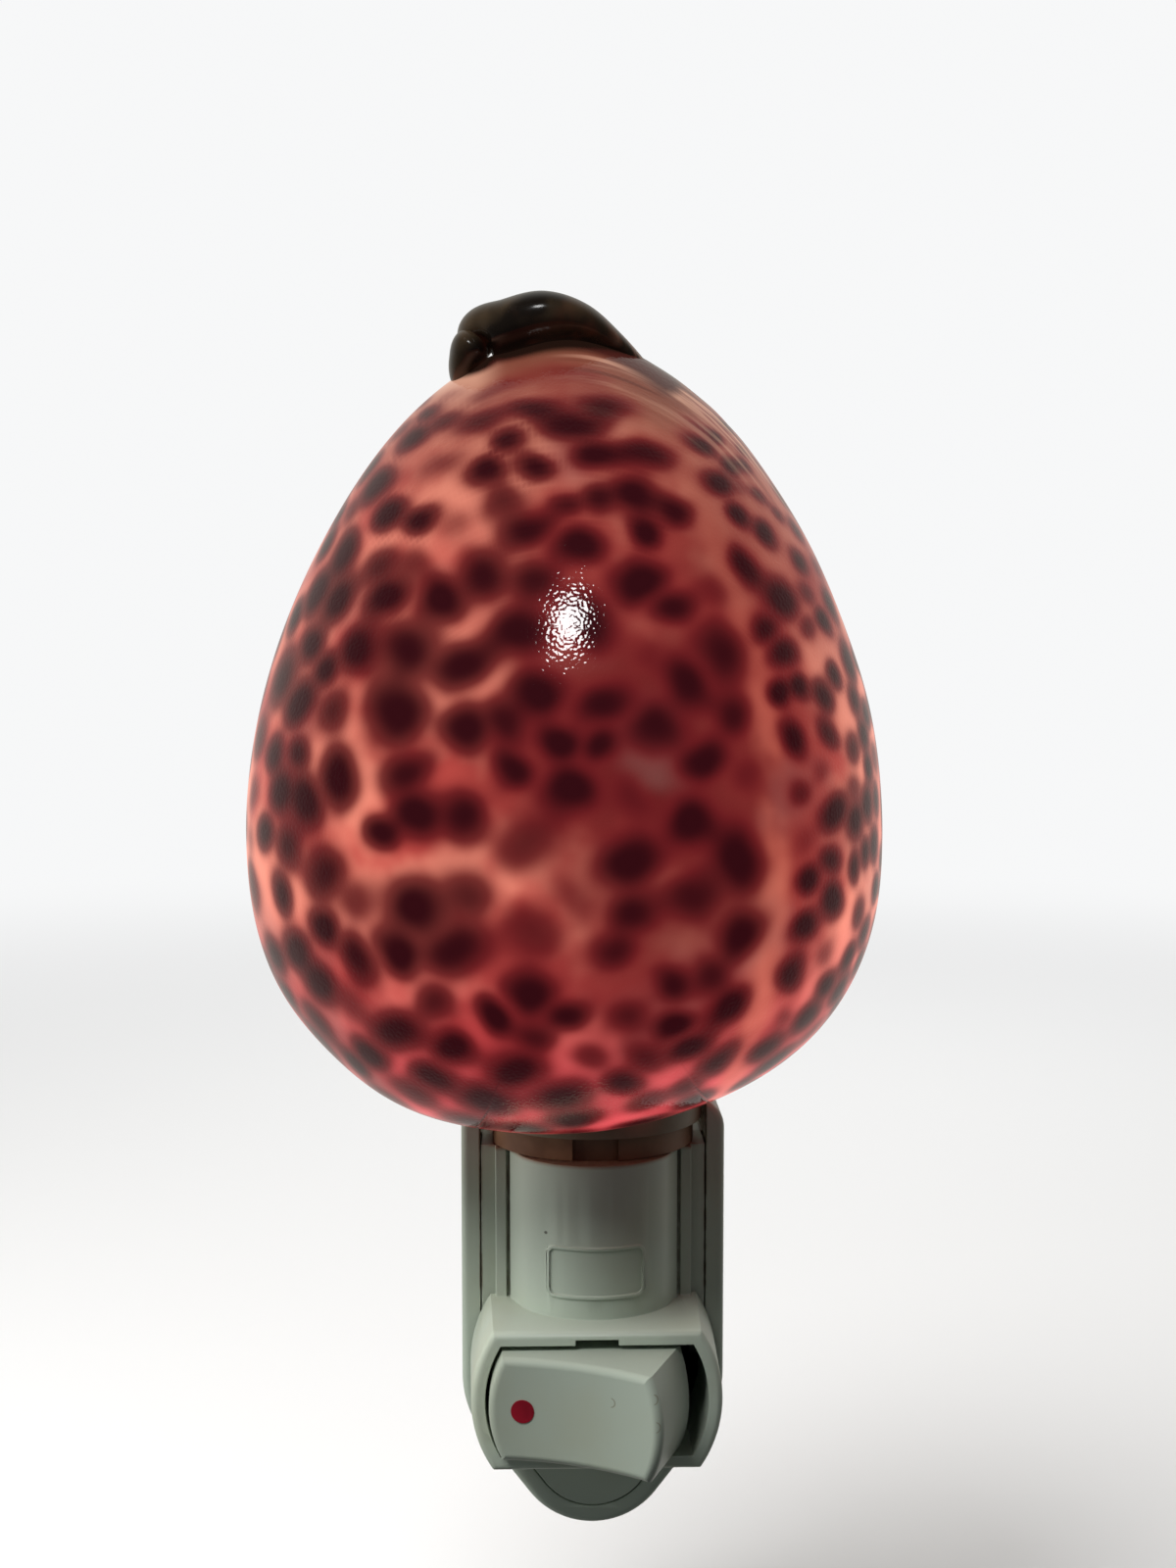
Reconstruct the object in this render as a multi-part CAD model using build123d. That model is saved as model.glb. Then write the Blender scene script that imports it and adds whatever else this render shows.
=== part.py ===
from build123d import *
import math
import os

# Plug-in night light: a cut seashell shade over a small screw-in bulb, on a plug base with a rocker switch.
# Millimetres. X is to the right, Y points into the wall, Z is up. The origin lies on the flat plug back
# face, midway between the two blades. "reach" is the distance off the wall, so y = -reach.

# Plug blades (North American two-blade pattern)
BLADE_SPACING = 12.7
BLADE_THICK = 1.5
BLADE_LENGTH = 17.0
HOT_BLADE_WIDE = 6.35
NEUTRAL_BLADE_WIDE = 7.9
BLADE_ROOT_REACH = 6.0
BLADE_HOLE_RADIUS = 1.6
BLADE_HOLE_FROM_TIP = 5.0
BLADE_CORNER = 2.0
BLADE_EDGE = 0.4
RIVET_REACH = 4.4
RIVET_RADIUS = 0.8

# Housing outline, seen from the front: straight sides, shoulders below, then a round chin
HALF_WIDTH = 14.75
HOUSING_TOP = 17.5
TOP_CORNER = 3.4
SHOULDER_Z = -14.0
SHOULDER_RADIUS = 12.0
CHIN_RADIUS = 9.0
CHIN_BOTTOM = -31.5
WALL = 2.1
BACK_WALL = 2.4
RIM_REACH = 19.5
LEDGE_REACH = 14.0
LEDGE_WIDE = 1.2
DECK_Z = 12.5
SHELF_REACH = 3.4
DECK_THICK = 2.0
SLOT_ROOM = 0.1
SCREW_ROOM = 0.2
COLLAR_ROOM = 0.4

# Screw that holds the halves together
SCREW_Z = -23.5
SCREW_RADIUS = 1.2
SCREW_HEAD_RADIUS = 2.4
SCREW_HEAD_REACH = 4.0
SCREW_HEAD_THICK = 1.6
SCREW_END_REACH = 19.0
SCREW_BOSS_RADIUS = 3.6
SCREW_CROSS_HALF = 1.5
SCREW_CROSS_LINE = 0.3
SCREW_CROSS_DEEP = 0.9
POST_RADIUS = 2.8

# Front cover steps, across the front
COVER_GAP = 0.15
COVER_WALL = 1.6
COVER_FACE = 19.6
RIB_HALF = 10.9
RIB_REACH = 21.0
GROOVE_HALF = 9.7
GROOVE_WIDE = 0.4
GROOVE_REACH = 20.3
FLANK_REACH = 21.4
PANEL_HALF = 7.9
PANEL_EDGE_REACH = 24.8
PANEL_REACH = 29.2
FRAME_Z = 0.7
FRAME_LONG = 10.8
FRAME_HIGH = 5.7
FRAME_CORNER = 1.0
FRAME_LINE = 0.35
FRAME_PROUD = 0.22

# Switch boss: a disc cut flat above and below, with a well of the same form for the rocker
BOSS_Z = -12.05
BOSS_RADIUS = 13.45
BOSS_BASE_RADIUS = 13.8
BOSS_BASE_REACH = 19.8
BOSS_HALF_HIGH = 7.6
BOSS_REACH = 33.0
WELL_RADIUS = 11.95
WELL_HALF_HIGH = 6.1
WELL_NOTCH_WIDE = 4.6
WELL_NOTCH_DEEP = 0.6
WELL_NOTCH_REACH = 29.5
WELL_WALL = 0.4
POST_SKIN = 0.2

# Rocker, drawn level and then tipped to its ON rest
ROCKER_PIVOT_REACH = 26.5
ROCKER_TILT = 10.5
ROCKER_END = 11.2
ROCKER_END_RISE = 5.3
ROCKER_LEFT_RISE = 10.7
ROCKER_DIP_RISE = 11.0
ROCKER_RIGHT_RISE = 16.2
ROCKER_FACE_FROM = 9.5
ROCKER_HALF_HIGH = 5.6
ROCKER_CLEARANCE = 0.4
ROCKER_FOOT = 3.0
ROCKER_FOOT_DROP = 4.6
ROCKER_SKIRT = 2.2
ROCKER_TAPER = 1.7
ROCKER_FOOT_TAPER = 0.6
ROCKER_ROUND = 0.8
PIN_RADIUS = 1.0
RUNNING_GAP = 0.05
PIN_END_DEPTH = 0.9
DOT_RADIUS = 1.25
DOT_AT = -6.2
DOT_RISE = 9.4
DOT_LONG = 0.98
PLUNGER_RADIUS = 1.2
PLUNGER_TIP = 7.15
PLUNGER_LONG = 3.6
PLUNGER_BORE_TOP = 1.5
PLUNGER_ROOM = 0.1
PLUNGER_NOSE = 0.9
SPRING_WIRE = 0.18
SPRING_TURNS = 4
SPRING_RADIUS = 0.9

# Seesaw switch contact
LEVER_REACH = 18.0
LEVER_PIVOT_REACH = 17.4
LEVER_HALF = 7.2
LEVER_THICK = 0.8
LEVER_WIDE = 4.0
LEVER_TILT = 6.0
LEVER_PIN_RADIUS = 0.9
LEVER_HUB_WALL = 0.7
CONTACT_RADIUS = 1.3
CONTACT_THICK = 0.6
CONTACT_AT = 6.2
STRIP = 0.9
STRIP_WIDE = 4.0
STRIP_TOP = 2.0
STRIP_SEAT_LONG = 3.2
LEAF_HALF = 1.5
LEAF_DROP = 0.6
BRACKET_HALF = 1.5
BRACKET_RISE = 1.0
BRACKET_CHEEK = 0.7
BRACKET_BACK = 2.4
BRACKET_FRONT = 0.9
BRACKET_TOP = -5.0
FIXED_CONTACT_REACH = 15.7

# Screw socket for a small candelabra bulb
SOCKET_REACH = 16.0
BARREL_RADIUS = 8.2
BARREL_BOTTOM = -3.0
BARREL_HOLE = 3.0
BARREL_ROOM = 1.0
NECK_RADIUS = 10.9
NECK_TOP = 17.0
SOCKET_SHELL_RADIUS = 6.75
SOCKET_SHELL_WALL = 0.4
SOCKET_SHELL_BOTTOM = 2.0
SOCKET_SHELL_TOP = 15.5
SOCKET_SHELL_HOLE = 3.4
THREAD_PITCH = 2.54

# Bulb
CAP_RADIUS = 5.95
CAP_BOTTOM = 3.6
CAP_TOP = 17.6
THREAD_DEEP = 0.45
CAP_WALL = 0.4
CAP_HOLE = 3.0
CAP_FLOOR = 0.5
CAP_LIP = 2.0
CAP_LIP_WALL = 0.6
SEAL_FOOT = 2.6
SEAL_WIDE = 5.0
TIP_BOTTOM = 1.4
TIP_TOP = 2.4
TIP_RADIUS = 2.2
TIP_GAP = 0.3
TIP_ROUND = 0.7
GLASS_RADIUS = 11.0
GLASS_WIDEST_Z = 38.0
GLASS_TOP = 57.0
GLASS_WALL = 0.7
GLASS_FOOT = 3.0
GLASS_SWELL_Z = 29.0
GLASS_SWELL = 0.86
GLASS_CROWN_DROP = 5.0
GLASS_CROWN = 0.62
STEM_RADIUS = 2.2
STEM_TOP = 28.0
LEAD_RADIUS = 0.3
LEAD_AT = 1.3
LEAD_TOP = 36.0
LEAD_SEAT = 4.0
FILAMENT_HALF = 4.0
FILAMENT_TOP = 41.5
FILAMENT_WIRE = 0.22
FILAMENT_KNEE = 2.0

# Seashell shade: an egg, blunt end down, flattened front to back and ground open at the back
SHELL_X = -3.1
SHELL_REACH = 20.0
SHELL_BOTTOM = 16.8
SHELL_WIDEST_Z = 47.7
SHELL_TOP = 101.5
SHELL_HALF_WIDE = 34.8
SHELL_HALF_DEEP = 31.0
SHELL_WALL = 2.5
SHELL_BACK_REACH = 5.0
BLUNT_POWER = 2.4
POINT_POWER = 1.78
OUTLINE_STEPS = 9
LIP_REACH = 21.5
LEFT_LOBE = ((-10.6, 98.4), (5.6, 5.0, 3.4), -40)
MAIN_LOBE = ((-3.6, 101.6), (7.6, 6.0, 3.9), -4)
COLLAR_RADIUS = 12.4
COLLAR_WALL = 0.9
COLLAR_BOTTOM = 15.2
COLLAR_TOP = 20.6
COLLAR_FIT = 0.15
CLIP_WALL = 0.25
CLIP_BOTTOM = 12.6
CLIP_TOP = 19.0
CLIP_SLIT = 5.0
CLIP_SLIT_TOP = 16.2
GLUE_WIDE = 1.0
GLUE_HIGH = 1.4
GLUE_DROP = 0.2

CORNER_RADIUS = 0.8
FAR = 200.0


def at(x, reach, z):
    """A point given by its distance off the wall."""
    return (x, -reach, z)


def block(x_low, x_high, reach_low, reach_high, z_low, z_high):
    """A box between two corners."""
    box = Box(x_high - x_low, reach_high - reach_low, z_high - z_low)
    return Pos((x_low + x_high) / 2, -(reach_low + reach_high) / 2, (z_low + z_high) / 2) * box


def upright(radius, z_low, z_high, x=0.0, reach=SOCKET_REACH):
    """An upright cylinder, on the socket axis unless told otherwise."""
    return Pos(x, -reach, (z_low + z_high) / 2) * Cylinder(radius, z_high - z_low)


def inward(radius, reach_low, reach_high, x, z):
    """A cylinder that lies square to the wall."""
    rod = Rot(90, 0, 0) * Cylinder(radius, reach_high - reach_low)
    return Pos(x, -(reach_low + reach_high) / 2, z) * rod


def turned(points):
    """A solid turned about the socket axis from (radius, z) points joined by straight lines."""
    outline = Polyline([(radius, 0, z) for radius, z in points], close=True)
    return Pos(0, -SOCKET_REACH, 0) * revolve(make_face(outline), axis=Axis.Z)


def front_outline(inset):
    """The housing's outline as a flat face on the wall plane, drawn in by inset all round."""
    half = HALF_WIDTH - inset
    top = HOUSING_TOP - inset
    corner = max(TOP_CORNER - inset, CORNER_RADIUS)
    shoulder = SHOULDER_RADIUS - inset
    chin = CHIN_RADIUS - inset
    shoulder_x = half - shoulder
    chin_z = CHIN_BOTTOM + inset + chin
    drop = SHOULDER_Z - chin_z
    span = math.hypot(shoulder_x, drop)
    lean = math.asin((shoulder - chin) / span) + math.atan2(shoulder_x, drop)
    normal = (math.cos(lean), -math.sin(lean))
    half_lean = (math.cos(lean / 2), -math.sin(lean / 2))
    side_low = (half, SHOULDER_Z)
    shoulder_mid = (shoulder_x + shoulder * half_lean[0], SHOULDER_Z + shoulder * half_lean[1])
    shoulder_end = (shoulder_x + shoulder * normal[0], SHOULDER_Z + shoulder * normal[1])
    chin_start = (chin * normal[0], chin_z + chin * normal[1])
    corner_mid = corner * (1 - math.sqrt(0.5))

    def mirror(point):
        return (-point[0], point[1])

    edges = [
        Line((corner - half, top), (half - corner, top)),
        ThreePointArc((half - corner, top), (half - corner_mid, top - corner_mid), (half, top - corner)),
        Line((half, top - corner), side_low),
        ThreePointArc(side_low, shoulder_mid, shoulder_end),
        Line(shoulder_end, chin_start),
        ThreePointArc(chin_start, (0, chin_z - chin), mirror(chin_start)),
        Line(mirror(chin_start), mirror(shoulder_end)),
        ThreePointArc(mirror(shoulder_end), mirror(shoulder_mid), mirror(side_low)),
        Line(mirror(side_low), (-half, top - corner)),
        ThreePointArc((-half, top - corner), (corner_mid - half, top - corner_mid), (corner - half, top)),
    ]
    return make_face(Wire(edges))


def housing_slab(inset, reach_low, reach_high):
    """The housing's outline, drawn in by inset, between two distances off the wall."""
    plane = Plane(origin=at(0, reach_low, 0), x_dir=(1, 0, 0), z_dir=(0, -1, 0))
    return extrude(plane * front_outline(inset), amount=reach_high - reach_low)


def cut_disc(radius, half_high, reach_low, reach_high):
    """A disc about the switch centre, cut flat above and below."""
    disc = inward(radius, reach_low, reach_high, 0, BOSS_Z)
    band = block(-FAR, FAR, reach_low, reach_high, BOSS_Z - half_high, BOSS_Z + half_high)
    return disc & band


def rear_housing():
    """Back half of the case: a tray with the plug face, its slots, the deck and the screw boss."""
    tray = housing_slab(0, 0, RIM_REACH)
    tray = fillet(tray.faces().sort_by(Axis.Y)[0].edges(), CORNER_RADIUS)
    tray -= housing_slab(WALL + LEDGE_WIDE, BACK_WALL, RIM_REACH)
    tray -= housing_slab(WALL, LEDGE_REACH, RIM_REACH)
    tray += block(-HALF_WIDTH + WALL, HALF_WIDTH - WALL, BACK_WALL, LEDGE_REACH, DECK_Z - DECK_THICK, DECK_Z)
    tray -= block(-HALF_WIDTH + WALL, HALF_WIDTH - WALL, SHELF_REACH, RIM_REACH, DECK_Z, HOUSING_TOP)
    tray -= upright(COLLAR_RADIUS + COLLAR_ROOM, DECK_Z, HOUSING_TOP)
    tray -= upright(BARREL_RADIUS + COVER_GAP, BARREL_BOTTOM - BARREL_ROOM, HOUSING_TOP)
    tray += inward(SCREW_BOSS_RADIUS, BACK_WALL, LEDGE_REACH, 0, SCREW_Z)
    tray -= inward(SCREW_HEAD_RADIUS + SCREW_ROOM, 0, SCREW_HEAD_REACH, 0, SCREW_Z)
    tray -= inward(SCREW_RADIUS + SCREW_ROOM, 0, LEDGE_REACH, 0, SCREW_Z)
    for side, wide in ((1, HOT_BLADE_WIDE), (-1, NEUTRAL_BLADE_WIDE)):
        middle = side * BLADE_SPACING / 2
        half_slot = BLADE_THICK / 2 + SLOT_ROOM
        half_high = wide / 2 + SLOT_ROOM
        tray -= block(middle - half_slot, middle + half_slot, 0, BACK_WALL, -half_high, half_high)
    return tray


def cover_section():
    """Half-profile steps of the cover, seen from above, from its right edge to its left."""
    edge = HALF_WIDTH - WALL - COVER_GAP
    right = [
        (edge, LEDGE_REACH),
        (edge, COVER_FACE),
        (RIB_HALF, COVER_FACE),
        (RIB_HALF, RIB_REACH),
        (GROOVE_HALF, RIB_REACH),
        (GROOVE_HALF, GROOVE_REACH),
        (GROOVE_HALF - GROOVE_WIDE, GROOVE_REACH),
        (GROOVE_HALF - GROOVE_WIDE, FLANK_REACH),
        (PANEL_HALF, PANEL_EDGE_REACH),
    ]
    right_side = Polyline([(x, -reach) for x, reach in right])
    left_side = Polyline([(-x, -reach) for x, reach in reversed(right)])
    panel = ThreePointArc((PANEL_HALF, -PANEL_EDGE_REACH), (0, -PANEL_REACH), (-PANEL_HALF, -PANEL_EDGE_REACH))
    back = Line((-edge, -LEDGE_REACH), (edge, -LEDGE_REACH))
    return make_face(Wire([*right_side.edges(), panel, *left_side.edges(), back]))


def panel_frame():
    """Plain raised frame with rounded corners on the bowed panel."""
    rise = PANEL_REACH - PANEL_EDGE_REACH
    bow = (PANEL_HALF**2 + rise**2) / (2 * rise)
    skin = upright(bow + FRAME_PROUD, BOSS_Z, DECK_Z, 0, PANEL_REACH - bow)
    plane = Plane(origin=at(0, PANEL_EDGE_REACH, FRAME_Z), x_dir=(1, 0, 0), z_dir=(0, -1, 0))
    outer = RectangleRounded(FRAME_LONG, FRAME_HIGH, FRAME_CORNER)
    inside_long = FRAME_LONG - 2 * FRAME_LINE
    inside_high = FRAME_HIGH - 2 * FRAME_LINE
    inner = RectangleRounded(inside_long, inside_high, FRAME_CORNER - FRAME_LINE)
    return extrude(plane * (outer - inner), amount=BOSS_REACH) & skin


def front_housing():
    """Front cover: stepped sides, a bowed panel, the deck, and the switch boss with its well."""
    cover = housing_slab(WALL + COVER_GAP, LEDGE_REACH, COVER_FACE)
    cover -= block(-FAR, FAR, 0, FAR, DECK_Z, FAR)
    steps = extrude(Plane.XY.offset(BOSS_Z) * cover_section(), amount=DECK_Z - BOSS_Z)
    cover += steps & housing_slab(WALL + COVER_GAP, LEDGE_REACH, FAR)
    cover += panel_frame()
    foot = Plane(origin=at(0, BOSS_BASE_REACH, BOSS_Z), x_dir=(1, 0, 0), z_dir=(0, -1, 0))
    rim = Plane(origin=at(0, BOSS_REACH, BOSS_Z), x_dir=(1, 0, 0), z_dir=(0, -1, 0))
    flare = loft([foot * Circle(BOSS_BASE_RADIUS), rim * Circle(BOSS_RADIUS)])
    boss = flare & cut_disc(FAR, BOSS_HALF_HIGH, BOSS_BASE_REACH, BOSS_REACH)
    boss = fillet(boss.faces().sort_by(Axis.Y)[0].edges(), CORNER_RADIUS)
    cover += boss
    cover += cut_disc(WELL_RADIUS + WELL_WALL, BOSS_HALF_HIGH, COVER_FACE - COVER_WALL, RIB_REACH)
    room = housing_slab(WALL + COVER_GAP + COVER_WALL, LEDGE_REACH, COVER_FACE - COVER_WALL)
    cover -= room - block(-FAR, FAR, 0, FAR, DECK_Z - DECK_THICK, FAR)
    cover -= upright(BARREL_RADIUS + COVER_GAP, BARREL_BOTTOM - BARREL_ROOM, HOUSING_TOP)
    cover -= cut_disc(WELL_RADIUS, WELL_HALF_HIGH, COVER_FACE - COVER_WALL, BOSS_REACH)
    notch_half = WELL_NOTCH_WIDE / 2
    notch_z = BOSS_Z + WELL_HALF_HIGH + WELL_NOTCH_DEEP
    cover -= block(-notch_half, notch_half, WELL_NOTCH_REACH, BOSS_REACH, BOSS_Z, notch_z)
    pin_half = WELL_HALF_HIGH + PIN_END_DEPTH
    cover -= upright(PIN_RADIUS, BOSS_Z - pin_half, BOSS_Z + pin_half, 0, ROCKER_PIVOT_REACH)
    cover += inward(POST_RADIUS, LEDGE_REACH, SCREW_END_REACH + POST_SKIN, 0, SCREW_Z)
    cover -= inward(SCREW_RADIUS, LEDGE_REACH, SCREW_END_REACH, 0, SCREW_Z)
    return cover


def housing_screw():
    """The screw that pulls the two halves together, put in from the back."""
    top = SCREW_HEAD_REACH - SCREW_HEAD_THICK
    screw = inward(SCREW_RADIUS, top, SCREW_END_REACH, 0, SCREW_Z)
    screw += inward(SCREW_HEAD_RADIUS, top, SCREW_HEAD_REACH, 0, SCREW_Z)
    for half_x, half_z in ((SCREW_CROSS_HALF, SCREW_CROSS_LINE), (SCREW_CROSS_LINE, SCREW_CROSS_HALF)):
        screw -= block(-half_x, half_x, top, top + SCREW_CROSS_DEEP, SCREW_Z - half_z, SCREW_Z + half_z)
    return screw


def rivet_rod(side):
    """The rivet through one blade and its strip."""
    middle = side * (BLADE_SPACING - BLADE_THICK - STRIP) / 2
    rod = Rot(0, 90, 0) * Cylinder(RIVET_RADIUS, BLADE_THICK + STRIP)
    return Pos(middle + side * BLADE_THICK / 2, -RIVET_REACH, 0) * rod


def blade(side, wide):
    """One plug blade with its rounded tip, the hole near it, and its rivet hole inside the case."""
    middle = side * BLADE_SPACING / 2
    half = BLADE_THICK / 2
    body = block(middle - half, middle + half, -BLADE_LENGTH, BLADE_ROOT_REACH, -wide / 2, wide / 2)
    tip_corners = body.faces().sort_by(Axis.Y)[-1].edges().filter_by(Axis.X)
    body = fillet(tip_corners, BLADE_CORNER)
    tip_edges = body.faces().sort_by(Axis.Y)[-1].edges().filter_by(Axis.Z)
    body = chamfer(tip_edges, BLADE_EDGE)
    hole = Rot(0, 90, 0) * Cylinder(BLADE_HOLE_RADIUS, 4 * BLADE_THICK)
    body -= Pos(middle, BLADE_LENGTH - BLADE_HOLE_FROM_TIP, 0) * hole
    return body - rivet_rod(side)


def hot_blade():
    """Live blade, the narrow one."""
    return blade(1, HOT_BLADE_WIDE)


def neutral_blade():
    """Neutral blade, the wide one."""
    return blade(-1, NEUTRAL_BLADE_WIDE)


def blade_rivets():
    """Two rivets that join the blades to their strips."""
    return Compound(children=[rivet_rod(1), rivet_rod(-1)])


def hot_strip():
    """Brass strip from the hot blade down and forward to the fixed switch contact."""
    outer = BLADE_SPACING / 2 - BLADE_THICK / 2
    inner = outer - STRIP
    low = BOSS_Z - STRIP_WIDE / 2
    high = BOSS_Z + STRIP_WIDE / 2
    seat = FIXED_CONTACT_REACH
    strip = block(inner, outer, BACK_WALL, BLADE_ROOT_REACH, low, STRIP_TOP)
    strip += block(inner, outer, BACK_WALL, seat, low, high)
    strip += block(inner, inner + STRIP_SEAT_LONG, seat - STRIP, seat, low, high)
    return strip - rivet_rod(1)


def fixed_contact():
    """Silver contact button on the hot strip, which the lever's contact meets when the light is on."""
    return inward(CONTACT_RADIUS, FIXED_CONTACT_REACH, FIXED_CONTACT_REACH + CONTACT_THICK, CONTACT_AT, BOSS_Z)


def neutral_strip():
    """Brass strip from the neutral blade forward and up to the socket's screw shell."""
    outer = -(BLADE_SPACING / 2 - BLADE_THICK / 2)
    inner = outer + STRIP
    foot = BARREL_BOTTOM - LEAF_DROP
    strip = block(outer, inner, BACK_WALL, BLADE_ROOT_REACH, foot - STRIP, STRIP_TOP)
    strip += block(outer, inner, BACK_WALL, SOCKET_REACH, foot - STRIP, foot)
    low = SOCKET_REACH - LEAF_HALF
    high = SOCKET_REACH + LEAF_HALF
    strip += block(outer, inner, low, high, foot - STRIP, SOCKET_SHELL_BOTTOM)
    return strip - rivet_rod(-1)


def pivot_bracket():
    """Brass post that carries the seesaw lever on a short pin, standing on the back wall."""
    half = STRIP_WIDE / 2 + BRACKET_RISE
    fork = LEVER_REACH - BRACKET_BACK
    post = block(-BRACKET_HALF, BRACKET_HALF, BACK_WALL, fork, BOSS_Z - half, BOSS_Z + half)
    for low in (BOSS_Z - half, BOSS_Z + half - BRACKET_CHEEK):
        post += block(-BRACKET_HALF, BRACKET_HALF, fork, LEVER_REACH + BRACKET_FRONT, low, low + BRACKET_CHEEK)
    post += upright(LEVER_PIN_RADIUS - RUNNING_GAP, BOSS_Z - half, BOSS_Z + half, 0, LEVER_PIVOT_REACH)
    post += block(-BRACKET_HALF, BRACKET_HALF, BACK_WALL, BACK_WALL + STRIP, BOSS_Z, BRACKET_TOP)
    return post


def tipped(shape, pivot_reach, angle):
    """A piece turned about an upright line in the switch's middle plane."""
    pivot = Pos(0, -pivot_reach, 0)
    return pivot * Rot(0, 0, angle) * pivot.inverse() * shape


def lever_turn(shape):
    """Tips a level lever piece to its ON rest, right end towards the wall."""
    return tipped(shape, LEVER_PIVOT_REACH, LEVER_TILT)


def contact_lever():
    """Seesaw bar that the plunger rocks to and fro about the bracket's pin."""
    low = BOSS_Z - LEVER_WIDE / 2
    high = BOSS_Z + LEVER_WIDE / 2
    bar = block(-LEVER_HALF, LEVER_HALF, LEVER_REACH, LEVER_REACH + LEVER_THICK, low, high)
    bar += upright(LEVER_PIN_RADIUS + LEVER_HUB_WALL, low, high, 0, LEVER_PIVOT_REACH)
    bar -= upright(LEVER_PIN_RADIUS, low, high, 0, LEVER_PIVOT_REACH)
    return lever_turn(bar)


def lever_contact():
    """Silver contact button under the lever's right end."""
    button = inward(CONTACT_RADIUS, LEVER_REACH - CONTACT_THICK, LEVER_REACH, CONTACT_AT, BOSS_Z)
    return lever_turn(button)


def centre_contact():
    """Brass leaf from the pivot bracket up and forward to the middle of the socket floor."""
    top = BARREL_BOTTOM - LEAF_DROP
    foot = BACK_WALL + STRIP
    low = BOSS_Z + STRIP_WIDE / 2 + BRACKET_RISE
    end = SOCKET_REACH + LEAF_HALF
    leaf = block(-LEAF_HALF, LEAF_HALF, foot, foot + STRIP, low, top)
    leaf += block(-LEAF_HALF, LEAF_HALF, foot, end, top - STRIP, top)
    leaf += block(-LEAF_HALF, LEAF_HALF, SOCKET_REACH - LEAF_HALF, end, top - STRIP, TIP_BOTTOM - TIP_GAP)
    return leaf


def socket_insulator():
    """Moulded barrel that holds the screw shell, with the neck that the shade slips over."""
    body = upright(BARREL_RADIUS, BARREL_BOTTOM, DECK_Z)
    body += upright(NECK_RADIUS, DECK_Z, NECK_TOP)
    body = fillet(body.faces().sort_by(Axis.Z)[-1].edges(), CORNER_RADIUS)
    body -= upright(SOCKET_SHELL_RADIUS, SOCKET_SHELL_BOTTOM, NECK_TOP)
    body -= upright(BARREL_HOLE, BARREL_BOTTOM, SOCKET_SHELL_BOTTOM)
    outer = -(BLADE_SPACING / 2 - BLADE_THICK / 2)
    low = SOCKET_REACH - LEAF_HALF
    high = SOCKET_REACH + LEAF_HALF
    body -= block(outer, outer + STRIP, low, high, BARREL_BOTTOM, SOCKET_SHELL_BOTTOM)
    return body


def socket_shell():
    """Brass screw shell: a plain cup with a hole in its floor for the bulb's tip."""
    outer = SOCKET_SHELL_RADIUS
    inner = outer - SOCKET_SHELL_WALL
    floor = SOCKET_SHELL_BOTTOM + SOCKET_SHELL_WALL
    return turned([
        (SOCKET_SHELL_HOLE, SOCKET_SHELL_BOTTOM),
        (outer, SOCKET_SHELL_BOTTOM),
        (outer, SOCKET_SHELL_TOP),
        (inner, SOCKET_SHELL_TOP),
        (inner, floor),
        (SOCKET_SHELL_HOLE, floor),
    ])


def rocker_turn(shape):
    """Tips a level rocker piece to its ON rest, left end pressed."""
    return tipped(shape, ROCKER_PIVOT_REACH, -ROCKER_TILT)


def rocker():
    """The rocker cap: a hollow face that rises to the right, ends that clear the well's round wall through the
    whole swing, and a keel that holds the plunger."""
    pivot = ROCKER_PIVOT_REACH

    def raised(x, rise):
        return (x, -(pivot + rise))

    low_right = [
        (ROCKER_END, ROCKER_END_RISE),
        (ROCKER_END - ROCKER_TAPER, ROCKER_END_RISE - ROCKER_SKIRT),
        (ROCKER_FOOT, 0),
        (ROCKER_FOOT - ROCKER_FOOT_TAPER, -ROCKER_FOOT_DROP),
    ]
    low_left = [(-x, rise) for x, rise in reversed(low_right)]
    left_end = (-ROCKER_END, ROCKER_LEFT_RISE)
    right_end = (ROCKER_END, ROCKER_RIGHT_RISE)
    sides = Polyline([raised(x, rise) for x, rise in [right_end, *low_right, *low_left, left_end]])
    face = ThreePointArc(raised(*left_end), raised(0, ROCKER_DIP_RISE), raised(*right_end))
    section = make_face(Wire([face, *sides.edges()]))
    cap = extrude(Plane.XY.offset(BOSS_Z - ROCKER_HALF_HIGH) * section, amount=2 * ROCKER_HALF_HIGH)
    for angle in (-ROCKER_TILT, 0, ROCKER_TILT):
        cap &= tipped(inward(WELL_RADIUS - ROCKER_CLEARANCE, 0, FAR, 0, BOSS_Z), pivot, angle)
    front = [edge for edge in cap.edges() if edge.center().Y < -(pivot + ROCKER_FACE_FROM)]
    cap = fillet(front, ROCKER_ROUND)
    cap -= upright(PIN_RADIUS + RUNNING_GAP, BOSS_Z - BOSS_HALF_HIGH, BOSS_Z + BOSS_HALF_HIGH, 0, pivot)
    cap -= inward(PLUNGER_RADIUS + PLUNGER_ROOM, pivot - ROCKER_FOOT_DROP, pivot - PLUNGER_BORE_TOP, 0, BOSS_Z)
    cap -= inward(DOT_RADIUS, pivot + DOT_RISE, FAR, DOT_AT, BOSS_Z)
    return rocker_turn(cap)


def rocker_dot():
    """Red ON dot, let into the rocker's left half."""
    low = ROCKER_PIVOT_REACH + DOT_RISE
    return rocker_turn(inward(DOT_RADIUS, low, low + DOT_LONG, DOT_AT, BOSS_Z))


def rocker_pin():
    """Steel pin that the rocker turns on, held in the boss above and below the well."""
    half = WELL_HALF_HIGH + PIN_END_DEPTH
    return upright(PIN_RADIUS, BOSS_Z - half, BOSS_Z + half, 0, ROCKER_PIVOT_REACH)


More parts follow.
